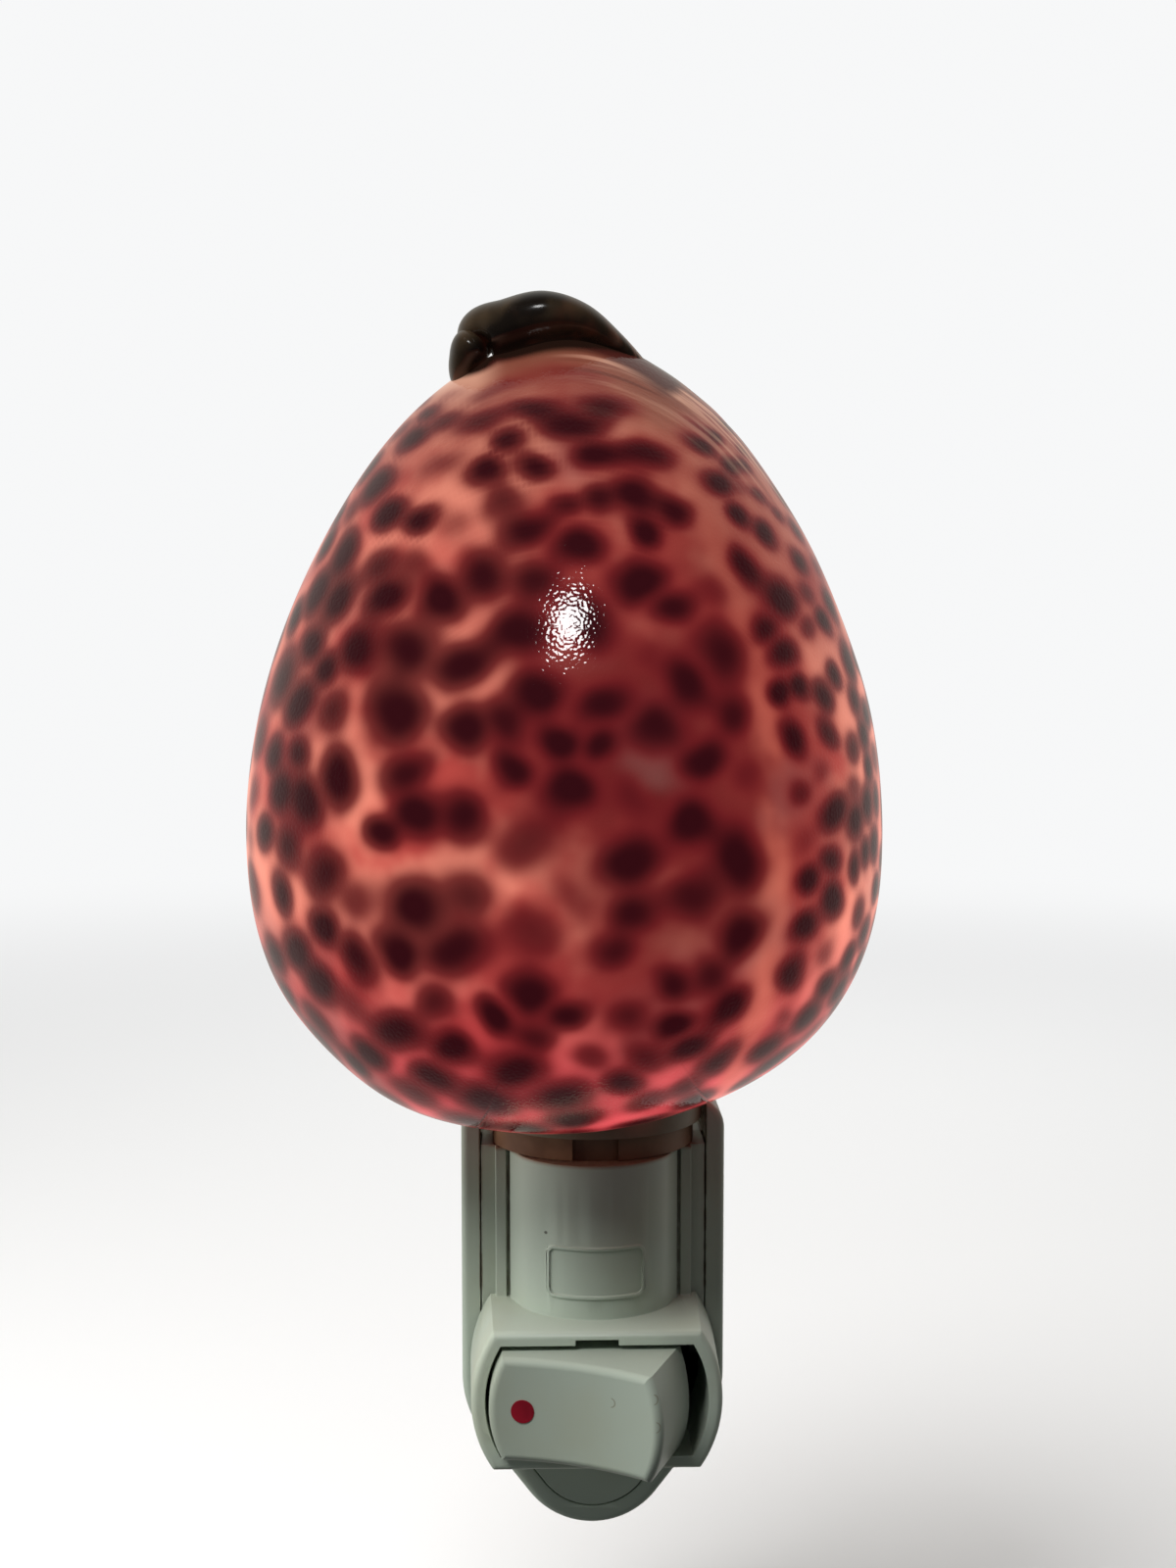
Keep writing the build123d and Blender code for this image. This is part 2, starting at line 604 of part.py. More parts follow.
def plunger():
    """Round-nosed plunger in the rocker's keel, which pushes the seesaw lever over."""
    pivot = ROCKER_PIVOT_REACH
    nose = pivot - PLUNGER_TIP
    rod = inward(PLUNGER_RADIUS, nose, nose + PLUNGER_LONG, 0, BOSS_Z)
    rod = fillet(rod.faces().sort_by(Axis.Y)[-1].edges(), PLUNGER_NOSE)
    return rocker_turn(rod)


def plunger_spring():
    """Coil spring behind the plunger."""
    pivot = ROCKER_PIVOT_REACH
    low = pivot - PLUNGER_TIP + PLUNGER_LONG + SPRING_WIRE
    high = pivot - PLUNGER_BORE_TOP - SPRING_WIRE
    coil = Helix(pitch=(high - low) / SPRING_TURNS, height=high - low, radius=SPRING_RADIUS)
    wire = sweep(Plane(origin=coil @ 0, z_dir=coil % 0) * Circle(SPRING_WIRE), path=coil)
    return rocker_turn(Pos(0, -low, BOSS_Z) * Rot(90, 0, 0) * wire)


def bulb_cap():
    """Threaded brass cap of the bulb, one ring for each turn of the thread."""
    root = CAP_RADIUS - THREAD_DEEP
    points = [(CAP_HOLE, CAP_BOTTOM), (root, CAP_BOTTOM)]
    for turn in range(int((CAP_TOP - CAP_LIP - CAP_BOTTOM) / THREAD_PITCH)):
        foot = CAP_BOTTOM + turn * THREAD_PITCH
        points.append((CAP_RADIUS, foot + THREAD_PITCH / 2))
        points.append((root, foot + THREAD_PITCH))
    points += [
        (CAP_RADIUS, CAP_TOP),
        (CAP_RADIUS - CAP_LIP_WALL, CAP_TOP),
        (root - CAP_WALL, CAP_TOP - CAP_LIP),
        (root - CAP_WALL, CAP_BOTTOM + CAP_FLOOR),
        (CAP_HOLE, CAP_BOTTOM + CAP_FLOOR),
    ]
    return turned(points)


def bulb_insulator():
    """Black glass seal between the cap and its tip contact."""
    return turned([
        (0, TIP_TOP),
        (SEAL_FOOT, TIP_TOP),
        (SEAL_WIDE, CAP_BOTTOM),
        (CAP_HOLE, CAP_BOTTOM),
        (CAP_HOLE, CAP_BOTTOM + CAP_FLOOR),
        (0, CAP_BOTTOM + CAP_FLOOR),
    ])


def bulb_tip_contact():
    """Solder tip under the bulb."""
    tip = upright(TIP_RADIUS, TIP_BOTTOM, TIP_TOP)
    return fillet(tip.faces().sort_by(Axis.Z)[0].edges(), TIP_ROUND)


def glass_form(inset):
    """Bulb glass form, drawn in by inset: a neck that swells into a candle-flame dome."""
    neck = CAP_RADIUS - THREAD_DEEP - CAP_WALL - inset
    wide = GLASS_RADIUS - inset
    top = GLASS_TOP - inset
    foot = CAP_TOP - GLASS_FOOT + inset
    side_points = [
        (neck, 0, CAP_TOP),
        (wide * GLASS_SWELL, 0, GLASS_SWELL_Z),
        (wide, 0, GLASS_WIDEST_Z),
        (wide * GLASS_CROWN, 0, top - GLASS_CROWN_DROP),
        (0, 0, top),
    ]
    side = Spline(side_points, tangents=[(0.15, 0, 1), (-1, 0, 0)])
    low = Polyline([(0, 0, top), (0, 0, foot), (neck, 0, foot), (neck, 0, CAP_TOP)])
    return Pos(0, -SOCKET_REACH, 0) * revolve(make_face(Wire([side, *low.edges()])), axis=Axis.Z)


def bulb_glass():
    """Clear glass envelope, closed below by the stem's press."""
    return glass_form(0) - glass_form(GLASS_WALL)


def lead_wires():
    """Two upright lead wires out of the stem."""
    wires = upright(LEAD_RADIUS, STEM_TOP - LEAD_SEAT, LEAD_TOP, -LEAD_AT)
    return wires + upright(LEAD_RADIUS, STEM_TOP - LEAD_SEAT, LEAD_TOP, LEAD_AT)


def bulb_stem():
    """Glass stem that carries the lead wires, on the foot of the envelope."""
    return upright(STEM_RADIUS, CAP_TOP - GLASS_FOOT + GLASS_WALL, STEM_TOP) - lead_wires()


def filament():
    """Tungsten filament: an arch between the tops of the lead wires."""
    arch = Spline([
        at(-LEAD_AT, SOCKET_REACH, LEAD_TOP),
        at(-FILAMENT_HALF, SOCKET_REACH, LEAD_TOP + FILAMENT_KNEE),
        at(0, SOCKET_REACH, FILAMENT_TOP),
        at(FILAMENT_HALF, SOCKET_REACH, LEAD_TOP + FILAMENT_KNEE),
        at(LEAD_AT, SOCKET_REACH, LEAD_TOP),
    ])
    return sweep(Plane(origin=arch @ 0, z_dir=arch % 0) * Circle(FILAMENT_WIRE), path=arch) - lead_wires()


def egg_form(inset):
    """The seashell's egg, drawn in by inset: two half superellipses, turned and flattened front to back."""
    wide = SHELL_HALF_WIDE - inset
    low = []
    high = []
    for half, power, height in (
        (low, BLUNT_POWER, SHELL_BOTTOM - SHELL_WIDEST_Z),
        (high, POINT_POWER, SHELL_TOP - SHELL_WIDEST_Z),
    ):
        tall = abs(height) - inset
        for step in range(OUTLINE_STEPS):
            angle = math.pi / 2 * step / OUTLINE_STEPS
            radius = wide * math.cos(angle) ** (2 / power)
            rise = math.copysign(tall * math.sin(angle) ** (2 / power), height)
            half.append((radius, 0, SHELL_WIDEST_Z + rise))
        half.append((0, 0, SHELL_WIDEST_Z + math.copysign(tall, height)))
    points = low[::-1] + high[1:]
    side = Spline(points, tangents=[(1, 0, 0), (-1, 0, 0)])
    egg = revolve(make_face(Wire([side, Line(points[-1], points[0])])), axis=Axis.Z)
    egg = scale(egg, by=(1, SHELL_HALF_DEEP / SHELL_HALF_WIDE, 1))
    return Pos(SHELL_X, -SHELL_REACH, 0) * egg


def lip_lobe(place, halves, lean):
    """One rounded lobe of the curled lip at the shell's narrow end."""
    x, z = place
    return Pos(x, -LIP_REACH, z) * Rot(0, lean, 0) * scale(Sphere(1), by=halves)


def shell_shade():
    """Seashell shade: thin egg, ground open at the back and below, with the curled lip on top."""
    shell = egg_form(0) + lip_lobe(*LEFT_LOBE) + lip_lobe(*MAIN_LOBE)
    shell -= egg_form(SHELL_WALL)
    shell -= block(-FAR, FAR, -FAR, SHELL_BACK_REACH, 0, FAR)
    shell -= upright(COLLAR_RADIUS + COLLAR_FIT, 0, SHELL_WIDEST_Z)
    return shell


def shade_collar():
    """Pale ring cemented into the shell's foot, which slips down over the socket's neck."""
    ring = upright(COLLAR_RADIUS, COLLAR_BOTTOM, COLLAR_TOP)
    return ring - upright(COLLAR_RADIUS - COLLAR_WALL, COLLAR_BOTTOM, COLLAR_TOP)


def shade_clip():
    """Springy brass band inside the collar, slit into four legs that grip the neck."""
    outer = COLLAR_RADIUS - COLLAR_WALL
    band = upright(outer, CLIP_BOTTOM, CLIP_TOP) - upright(outer - CLIP_WALL, CLIP_BOTTOM, CLIP_TOP)
    for quarter in range(4):
        slit = block(0, FAR, -CLIP_SLIT / 2, CLIP_SLIT / 2, CLIP_BOTTOM, CLIP_SLIT_TOP)
        band -= Pos(0, -SOCKET_REACH, 0) * Rot(0, 0, 90 * quarter) * slit
    return band


def glue_bead():
    """Bead of cement round the collar, where it stands inside the shell's foot."""
    top = COLLAR_TOP - GLUE_DROP
    return turned([
        (COLLAR_RADIUS, top - GLUE_HIGH),
        (COLLAR_RADIUS + GLUE_WIDE, top - 0.7 * GLUE_HIGH),
        (COLLAR_RADIUS + GLUE_WIDE / 2, top - 0.2 * GLUE_HIGH),
        (COLLAR_RADIUS, top),
    ])


PIECES = {
    "rear_housing": rear_housing,
    "front_housing": front_housing,
    "housing_screw": housing_screw,
    "hot_blade": hot_blade,
    "neutral_blade": neutral_blade,
    "blade_rivets": blade_rivets,
    "hot_strip": hot_strip,
    "neutral_strip": neutral_strip,
    "fixed_contact": fixed_contact,
    "pivot_bracket": pivot_bracket,
    "contact_lever": contact_lever,
    "lever_contact": lever_contact,
    "centre_contact": centre_contact,
    "socket_insulator": socket_insulator,
    "socket_shell": socket_shell,
    "rocker": rocker,
    "rocker_dot": rocker_dot,
    "rocker_pin": rocker_pin,
    "plunger": plunger,
    "plunger_spring": plunger_spring,
    "bulb_cap": bulb_cap,
    "bulb_insulator": bulb_insulator,
    "bulb_tip_contact": bulb_tip_contact,
    "bulb_glass": bulb_glass,
    "bulb_stem": bulb_stem,
    "lead_wires": lead_wires,
    "filament": filament,
    "shell_shade": shell_shade,
    "shade_collar": shade_collar,
    "shade_clip": shade_clip,
    "glue_bead": glue_bead,
}

os.makedirs("parts", exist_ok=True)
for node, make_piece in PIECES.items():
    export_step(make_piece(), f"parts/{node}.step")
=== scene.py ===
# %% [markdown]
# # A seashell night light
# A plug-in night light is a small moulded case that hangs from its two blades in a wall receptacle, with
# a candelabra bulb on top. Its shade is a real cowrie shell: the back is ground away so that light falls
# on the wall, and the bulb shines through the thin spotted front. The frame holds every working piece at
# its real size. This lesson gives the pieces their looks, and models the shell afresh, because a shell is
# a grown form. Sizes are in millimetres, unless a name or a comment says otherwise.

# %% Load the frame
import math

import bmesh
import bpy
import numpy as np
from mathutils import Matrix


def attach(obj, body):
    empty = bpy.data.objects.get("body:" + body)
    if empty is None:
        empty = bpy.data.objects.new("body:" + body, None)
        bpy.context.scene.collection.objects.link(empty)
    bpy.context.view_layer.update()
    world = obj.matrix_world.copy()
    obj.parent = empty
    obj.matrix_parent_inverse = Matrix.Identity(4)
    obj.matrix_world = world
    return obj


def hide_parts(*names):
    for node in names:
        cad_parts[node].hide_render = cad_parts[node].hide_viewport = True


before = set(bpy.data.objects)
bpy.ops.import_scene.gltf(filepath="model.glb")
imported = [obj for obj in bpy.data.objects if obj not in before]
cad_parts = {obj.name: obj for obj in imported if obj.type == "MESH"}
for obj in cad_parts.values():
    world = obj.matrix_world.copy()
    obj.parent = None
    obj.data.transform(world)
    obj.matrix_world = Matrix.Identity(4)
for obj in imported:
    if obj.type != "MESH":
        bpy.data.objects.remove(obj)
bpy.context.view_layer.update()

MM = 0.001
scene = bpy.context.scene
scene.view_settings.view_transform = "Standard"

# %% [markdown]
# ## The camera
# The light is seen by someone who stands close, a little to the left and above the middle of the shell. A
# lens of about 50 mm on a tall 36 mm frame gives the same strong perspective: the rocker looks large
# because it is much nearer than the plug. The camera is placed first, so that every later look can be
# compared. It looks down a little, and about 1.8 degrees (0.0314 radians) to the right.

# %% Place the camera
CAMERA_AT = np.array([-8.0, -256.0, 74.0]) * MM
CAMERA_DOWN = math.radians(5.1)
CAMERA_RIGHT = 0.0314
FRAME_TALL = 1600
FOCAL_PIXELS = 2200
SENSOR = 36.0

camera_data = bpy.data.cameras.new("camera")
camera_data.sensor_fit = "VERTICAL"
camera_data.sensor_height = SENSOR
camera_data.lens = SENSOR * FOCAL_PIXELS / FRAME_TALL
camera = bpy.data.objects.new("camera", camera_data)
scene.collection.objects.link(camera)
camera.location = CAMERA_AT
camera.rotation_euler = (math.pi / 2 - CAMERA_DOWN, 0, -CAMERA_RIGHT)
scene.camera = camera
print("lens, mm:", round(camera_data.lens, 1))

# %% [markdown]
# ## Maths on sockets
# A finish is a sum of masks and noises. Written as nodes, that is dozens of boxes and wires. A small
# class that wraps a socket lets the same thing be written as ordinary sums, and each operator adds its
# Math node.

# %% Sockets that add up
class Wire:
    """A node socket that can be used in a sum: each operator adds one Math node."""

    def __init__(self, finish, socket):
        self.finish = finish
        self.socket = socket

    def _math(self, operation, *values):
        return self.finish.node("ShaderNodeMath", {"operation": operation}, dict(enumerate(values)))

    def __add__(self, other):
        return self._math("ADD", self, other)

    def __sub__(self, other):
        return self._math("SUBTRACT", self, other)

    def __rsub__(self, other):
        return self._math("SUBTRACT", other, self)

    def __mul__(self, other):
        return self._math("MULTIPLY", self, other)

    def __truediv__(self, other):
        return self._math("DIVIDE", self, other)

    def __pow__(self, other):
        return self._math("POWER", self, other)

    def size(self):
        """The number without its sign."""
        return self._math("ABSOLUTE", self)

    def clamp(self):
        """The number, kept between 0 and 1."""
        return self.finish.node("ShaderNodeClamp", {}, {"Value": self})

    def smooth(self, start, end):
        """0 up to start, 1 from end on, and a soft step between. It falls where end is the lower number."""
        sockets = {"Value": self, "From Min": start, "From Max": end}
        return self.finish.node("ShaderNodeMapRange", {"interpolation_type": "SMOOTHSTEP"}, sockets)


def length(first, *others):
    """Distance made up of offsets along square axes: the root of the sum of their squares."""
    total = first ** 2.0
    for offset in others:
        total = total + offset ** 2.0
    return total ** 0.5


# %% [markdown]
# ## A finish in code
# A finish is one material. It could be wired by hand in the shader editor, but a script gives the same
# wires on each run. This class adds the few nodes that all the finishes share: noise, masks, colour mixes
# and bump.

# %% One material
MIX_FACTOR = 0          # the Mix node has sockets for every kind of value: these are the ones for colours
MIX_COLOURS = (6, 7)
MIX_RESULT = 2


class Finish:
    """One material. It starts as a Principled shader. Given the world's tree, it builds there."""

    def __init__(self, name, tree=None):
        if tree is None:
            self.material = bpy.data.materials.new(name)
            self.material.use_nodes = True
            tree = self.material.node_tree
            self.shader = tree.nodes["Principled BSDF"]
        self.tree = tree
        self.place = self.node("ShaderNodeTexCoord", {}, {}, "Object")

    def node(self, kind, settings, sockets, output=0):
        """Adds a node: its settings first, then the values or links of its sockets. Returns one output."""
        made = self.tree.nodes.new(kind)
        for name, value in settings.items():
            setattr(made, name, value)
        for name, value in sockets.items():
            if isinstance(value, Wire):
                self.tree.links.new(value.socket, made.inputs[name])
            else:
                made.inputs[name].default_value = value
        return Wire(self, made.outputs[output])

    def noise(self, scale, detail, place=None):
        """Fractal noise from 0 to 1: scale in features per metre, detail in finer layers."""
        sockets = {"Vector": place or self.place, "Scale": scale, "Detail": detail}
        return self.node("ShaderNodeTexNoise", {}, sockets)

    def stretched(self, scale):
        """The object's coordinates, multiplied by a different number along each axis."""
        return self.node("ShaderNodeMapping", {}, {"Vector": self.place, "Scale": scale})

    def axis(self, name):
        """One of the object's coordinates, in metres."""
        return self.node("ShaderNodeSeparateXYZ", {}, {"Vector": self.place}, name)

    def mm(self, name):
        """One of the object's coordinates, in millimetres."""
        return self.axis(name) * 1000.0

    def mask(self, name):
        """A number that the mesh carries on its points."""
        return self.node("ShaderNodeAttribute", {"attribute_name": name}, {}, "Fac")

    def mix(self, factor, first, second):
        """A colour between two colours."""
        sockets = {MIX_FACTOR: factor}
        for place, colour in zip(MIX_COLOURS, (first, second)):
            sockets[place] = colour if isinstance(colour, Wire) else (*colour, 1.0)
        return self.node("ShaderNodeMix", {"data_type": "RGBA"}, sockets, MIX_RESULT)

    def set(self, **values):
        """Sets or links the shader's own sockets."""
        for name, value in values.items():
            socket = self.shader.inputs[name.replace("_", " ")]
            if isinstance(value, Wire):
                self.tree.links.new(value.socket, socket)
            elif isinstance(value, tuple):
                socket.default_value = (*value, 1.0)
            else:
                socket.default_value = value

    def blend_shader(self, factor, other):
        """Shows another shader over the Principled one, by a factor from 0 to 1."""
        mixed = self.node("ShaderNodeMixShader", {}, {0: factor, 2: other})
        self.tree.links.new(self.shader.outputs[0], mixed.socket.node.inputs[1])
        self.tree.links.new(mixed.socket, self.tree.nodes["Material Output"].inputs["Surface"])

    def bump(self, height, strength, distance):
        """Raises the surface by a height pattern, distance in metres. Returns the finish."""
        sockets = {"Height": height, "Strength": strength, "Distance": distance}
        wire = self.node("ShaderNodeBump", {}, sockets)
        self.tree.links.new(wire.socket, self.shader.inputs["Normal"])
        return self


def srgb(red, green, blue):
    """A colour given as on a screen, from 0 to 255, as the linear numbers that shaders use. The curve and
    its straight foot are those of the sRGB standard."""
    values = np.array([red, green, blue]) / 255
    curve = ((values + 0.055) / 1.055) ** 2.4
    return tuple(float(value) for value in np.where(values < 0.04045, values / 12.92, curve))


# %% [markdown]
# ## Meshes from arrays
# Every new surface is a grid of points: a formula in two numbers gives the whole grid at once as an
# array. The faces follow from the grid's shape alone: quads between its rows, and a fan of triangles where
# it closes. One helper for each serves every piece.

# %% Grid helpers
def grid_faces(rows, columns, first, flip=False):
    """Quads between neighbouring points of a grid whose last column meets its first. The grid's own points
    start at number first."""
    row, column = np.meshgrid(np.arange(rows - 1), np.arange(columns), indexing="ij")
    right = (column + 1) % columns
    corners = [row * columns + column, row * columns + right,
               (row + 1) * columns + right, (row + 1) * columns + column]
    quads = np.stack(corners, axis=-1).reshape(-1, 4)
    return (quads[:, ::-1] if flip else quads) + first


def fan_faces(tip, first, count, flip=False):
    """Triangles from a tip point to a closed ring of count points, which close the end of a grid."""
    ring = first + np.arange(count)
    following = np.roll(ring, -1)
    if flip:
        ring, following = following, ring
    return np.stack([np.full(count, tip), ring, following], axis=1)


def make_piece(name, points, faces, body, finish):
    """Puts points (in millimetres) and faces into a smooth mesh that rides on a body."""
    mesh = bpy.data.meshes.new(name)
    mesh.from_pydata((np.asarray(points) * MM).tolist(), [], [list(face) for face in faces])
    mesh.validate()
    mesh.polygons.foreach_set("use_smooth", np.ones(len(mesh.polygons), bool))
    piece = bpy.data.objects.new(name, mesh)
    scene.collection.objects.link(piece)
    mesh.materials.append(finish.material)
    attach(piece, body)
    print(name, "points", len(mesh.vertices), "faces", len(mesh.polygons))
    return piece


# %% [markdown]
# ## The stage
# The backdrop is plain and pale. The room is brighter behind the shell than in front of it, as it is when
# the light is on and shines on its wall, so the glaze shows pale rims and keeps a dark, clear middle. The
# world's shader can tell what kind of ray asks, so reflections may see another room than the camera does.

# %% Backdrop
SKY_SEEN = (0.93, 0.935, 0.94)
ROOM_FRONT = (0.07, 0.073, 0.076)
ROOM_BACK = (0.62, 0.60, 0.56)
GLOSS_FRONT = (0.03, 0.03, 0.035)
GLOSS_BACK = (0.42, 0.41, 0.38)
FRONT_TO_BACK = (-0.3, 0.7)


def world_sky():
    """Near white where it is seen directly or through glass; elsewhere dim in front and brighter behind."""
    world = bpy.data.worlds.new("sky")
    scene.world = world
    world.use_nodes = True
    sky = Finish("sky", world.node_tree)
    direct, glass, gloss = (sky.node("ShaderNodeLightPath", {}, {}, f"Is {kind} Ray")
                            for kind in ("Camera", "Transmission", "Glossy"))
    back = sky.axis("Y").smooth(*FRONT_TO_BACK)
    front = sky.mix(gloss, ROOM_FRONT, GLOSS_FRONT)
    behind = sky.mix(gloss, ROOM_BACK, GLOSS_BACK)
    colour = sky.mix((direct + glass).clamp(), sky.mix(back, front, behind), SKY_SEEN)
    background = sky.tree.nodes["Background"]
    sky.tree.links.new(colour.socket, background.inputs["Color"])
    print("sky nodes:", len(sky.tree.nodes))


world_sky()

# %% [markdown]
# ## The floor
# The light hangs in the air above the floor, as it does in a receptacle. Pale paper would do, but its far
# edge would draw a horizon. So the floor turns into the backdrop's colour with distance, in the camera's
# view alone. It is left out of reflections and of the light that bounces, which keeps the case's tones
# clean.

# %% Floor
FLOOR_Z = -62.0
STAGE_HALF = 1500.0
PAPER = (0.86, 0.86, 0.86)
PAPER_GRAIN = (0.80, 0.80, 0.80)
FADE_METRES = (0.0, 0.8)


def stage_finish():
    """Pale paper that turns into the backdrop's colour far from the object."""
    finish = Finish("stage_paper")
    grain = finish.noise(scale=60.0, detail=3.0)
    finish.set(Base_Color=finish.mix(grain * 0.05, PAPER, PAPER_GRAIN), Roughness=0.9)
    far = length(finish.axis("X"), finish.axis("Y"))
    glow = finish.node("ShaderNodeEmission", {}, {"Color": (*SKY_SEEN, 1.0)})
    seen = finish.node("ShaderNodeLightPath", {}, {}, "Is Camera Ray")
    finish.blend_shader(far.smooth(*FADE_METRES) * seen, glow)
    return finish


floor_mesh = bpy.data.meshes.new("floor")
floor_corners = [(side_x * STAGE_HALF * MM, side_y * STAGE_HALF * MM, FLOOR_Z * MM)
                 for side_x, side_y in ((-1, -1), (1, -1), (1, 1), (-1, 1))]
floor_mesh.from_pydata(floor_corners, [], [(0, 1, 2, 3)])
floor = bpy.data.objects.new("floor", floor_mesh)
scene.collection.objects.link(floor)
floor_mesh.materials.append(stage_finish().material)
floor.visible_diffuse = False
floor.visible_glossy = False
print("floor at z, mm:", FLOOR_Z)

# %% [markdown]
# ## Lamps
# Three broad, soft lamps model the case: a key from the upper left, a fill from the side and one from
# behind. They would show as large white discs in the glaze, so they are left out of reflections. A small
# fourth lamp does the opposite. It lights nothing, and shows only as the bright window on the shell.

# %% Place the lamps
def soft_lamp(name, at, towards, size, watts, glint=False):
    """A round lamp that points at a place, all in millimetres. A glint shows in reflections alone, and any
    other lamp shows in none."""
    data = bpy.data.lights.new(name, "AREA")
    data.shape = "DISK"
    data.size = size * MM
    data.energy = watts
    lamp = bpy.data.objects.new(name, data)
    scene.collection.objects.link(lamp)
    start = np.array(at, float)
    way = np.array(towards, float) - start
    lamp.location = start * MM
    flat = math.hypot(way[0], way[1])
    lamp.rotation_euler = (math.atan2(flat, -way[2]), 0, math.atan2(-way[0], way[1]))
    lamp.visible_glossy = glint
    lamp.visible_diffuse = not glint
    print(name, "lamp, watts:", watts)


soft_lamp("glint", at=(6, -370, 314), towards=(0, -30, 60), size=90, watts=0.5, glint=True)
soft_lamp("key", at=(-190, -215, 420), towards=(0, -30, 0), size=260, watts=2.35)
soft_lamp("side", at=(-420, -40, 60), towards=(0, -20, 20), size=300, watts=0.75)
soft_lamp("back", at=(80, 420, 320), towards=(0, -20, 40), size=400, watts=1.2)

# %% [markdown]
# ## The shell's form
# A cowrie is a flattened egg, blunt where it began to grow and pointed at the other end. Its outline is
# two half superellipses, a curve between an ellipse and a rounded box. The ground-off back is a plane
# cut, and the foot is drilled to sit on the collar. The grid is polar: one number goes round the line of
# sight, the other from the crown of the dome to the cut edge, so the cut edge is always a grid line and
# stays crisp.

# %% Shell surface
SHELL_CENTRE = np.array([-3.1, -20.0, 47.7])
SHELL_LOW = 16.8
SHELL_HIGH = 101.5
SHELL_HALF_WIDE = 34.8
SHELL_HALF_DEEP = 31.0
BLUNT_POWER = 2.4
POINT_POWER = 1.78
CUT_REACH = 5.0
HOLE_RADIUS = 12.55
SOCKET_Y = -16.0
AROUND = 440
OUTER_ROWS = 150
INNER_ROWS = 36
WALL_THICK = 2.2
WIDEST_TURN = 0.9 * math.pi
CUT_STEPS = 400
HALVINGS = 30
EVEN_SHARE = 0.5
STRETCH_POWER = 1.5

turns = np.linspace(0, 2 * math.pi, AROUND, endpoint=False)


def shell_radius(way, inset):
    """Distance from the shell's centre to its surface along a direction: the scale at which the two
    superellipse terms, (flat distance / half width)^n + (height / half height)^n, add up to one."""
    flat = np.hypot(way[..., 0] / (SHELL_HALF_WIDE - inset), way[..., 1] / (SHELL_HALF_DEEP - inset))
    up = way[..., 2] > 0
    tall = np.where(up, SHELL_HIGH - SHELL_CENTRE[2], SHELL_CENTRE[2] - SHELL_LOW) - inset
    power = np.where(up, POINT_POWER, BLUNT_POWER)
    return (flat**power + (np.abs(way[..., 2]) / tall)**power) ** (-1 / power)


def shell_point(turn, open_angle, inset=0.0):
    """Surface point at an angle from the crown, turned round the line of sight."""
    turn, open_angle = np.broadcast_arrays(turn, open_angle)
    way = np.stack([np.sin(open_angle) * np.cos(turn), -np.cos(open_angle),
                    np.sin(open_angle) * np.sin(turn)], axis=-1)
    return SHELL_CENTRE + way * shell_radius(way, inset)[..., None]


def beyond_cut(points):
    """True where the shell has been ground or drilled away."""
    behind = points[..., 1] > -CUT_REACH
    in_bore = np.hypot(points[..., 0], points[..., 1] - SOCKET_Y) < HOLE_RADIUS
    return behind | (in_bore & (points[..., 2] < SHELL_CENTRE[2]))


def cut_angles(inset):
    """The angle from the crown at which each turn meets the cut, found by halving the gap around it."""
    steps = np.linspace(0, WIDEST_TURN, CUT_STEPS)
    first_gone = np.argmax(beyond_cut(shell_point(turns[:, None], steps[None, :], inset)), axis=1)
    near, far = steps[first_gone - 1], steps[first_gone]
    for _ in range(HALVINGS):
        middle = (near + far) / 2
        gone = beyond_cut(shell_point(turns, middle, inset))
        near, far = np.where(gone, near, middle), np.where(gone, middle, far)
    return near


def shell_grid(rows, inset):
    """Points from just off the crown to the cut edge, row by row. The rows are true circles about the crown
    for the first EVEN_SHARE of the way, and then stretch to meet the cut."""
    shares = np.linspace(0, 1, rows + 1)[1:, None]
    cuts = cut_angles(inset)[None, :]
    stretch = np.clip((shares - EVEN_SHARE) / (1 - EVEN_SHARE), 0, 1) ** STRETCH_POWER
    angles = shares * cuts.min() + stretch * (cuts - cuts.min())
    return shell_point(turns[None, :], angles, inset)


outer = shell_grid(OUTER_ROWS, 0.0)
inner = shell_grid(INNER_ROWS, WALL_THICK)
print("shell, mm:", np.round(outer.reshape(-1, 3).max(0) - outer.reshape(-1, 3).min(0), 1))

# %% [markdown]
# ## Growth marks in the form
# The glaze over a cowrie is never quite even. Slow waves of up to a fifth of a millimetre bend the
# highlights, and near the narrow end fine ridges run beside the outline, away from the lip. The foot is
# fuller in front than an egg's, above all on the left. All three are added to the grid as a lift
# outwards.

# %% Waves and growth ridges
WAVE_HIGH = 0.18
WAVES = [(0.21, 0.0, 0.13, 0.0), (-0.11, 0.0, 0.17, 1.3), (0.31, 0.0, -0.24, 0.7), (0.0, 0.29, 0.19, 2.1)]
SWELL_HIGH = 1.5
SWELLS = [((-17.0, -33.0, 19.5), 1.0), ((2.0, -33.0, 17.5), 0.6)]
SWELL_RADII = np.array([13.0, 12.0, 9.0])
RIDGE_HIGH = 0.05
RIDGE_PITCH = 1.7
RIDGE_FROM = 84.0
RIDGE_LEFT = -6.0
RIDGE_RISE = 8.0
RIDGE_SWAY = 0.6
RIDGE_SWAY_TURN = 0.3
EDGE_SHARE = 0.05


def sine_sum(points, waves):
    """A sum of sine waves. A wave is its turn in radians per millimetre along X, Y and Z, and its start."""
    x, y, z = points[..., 0], points[..., 1], points[..., 2]
    return sum(np.sin(turn_x * x + turn_y * y + turn_z * z + start)
               for turn_x, turn_y, turn_z, start in waves)


def low_swell(points):
    """Two soft bumps that make the foot fuller in front. Each is its share of exp(-q^2), where q is the
    distance from its place in swell radii."""
    total = np.zeros(points.shape[:-1])
    for place, share in SWELLS:
        total += share * np.exp(-(((points - place) / SWELL_RADII) ** 2).sum(axis=-1))
    return total


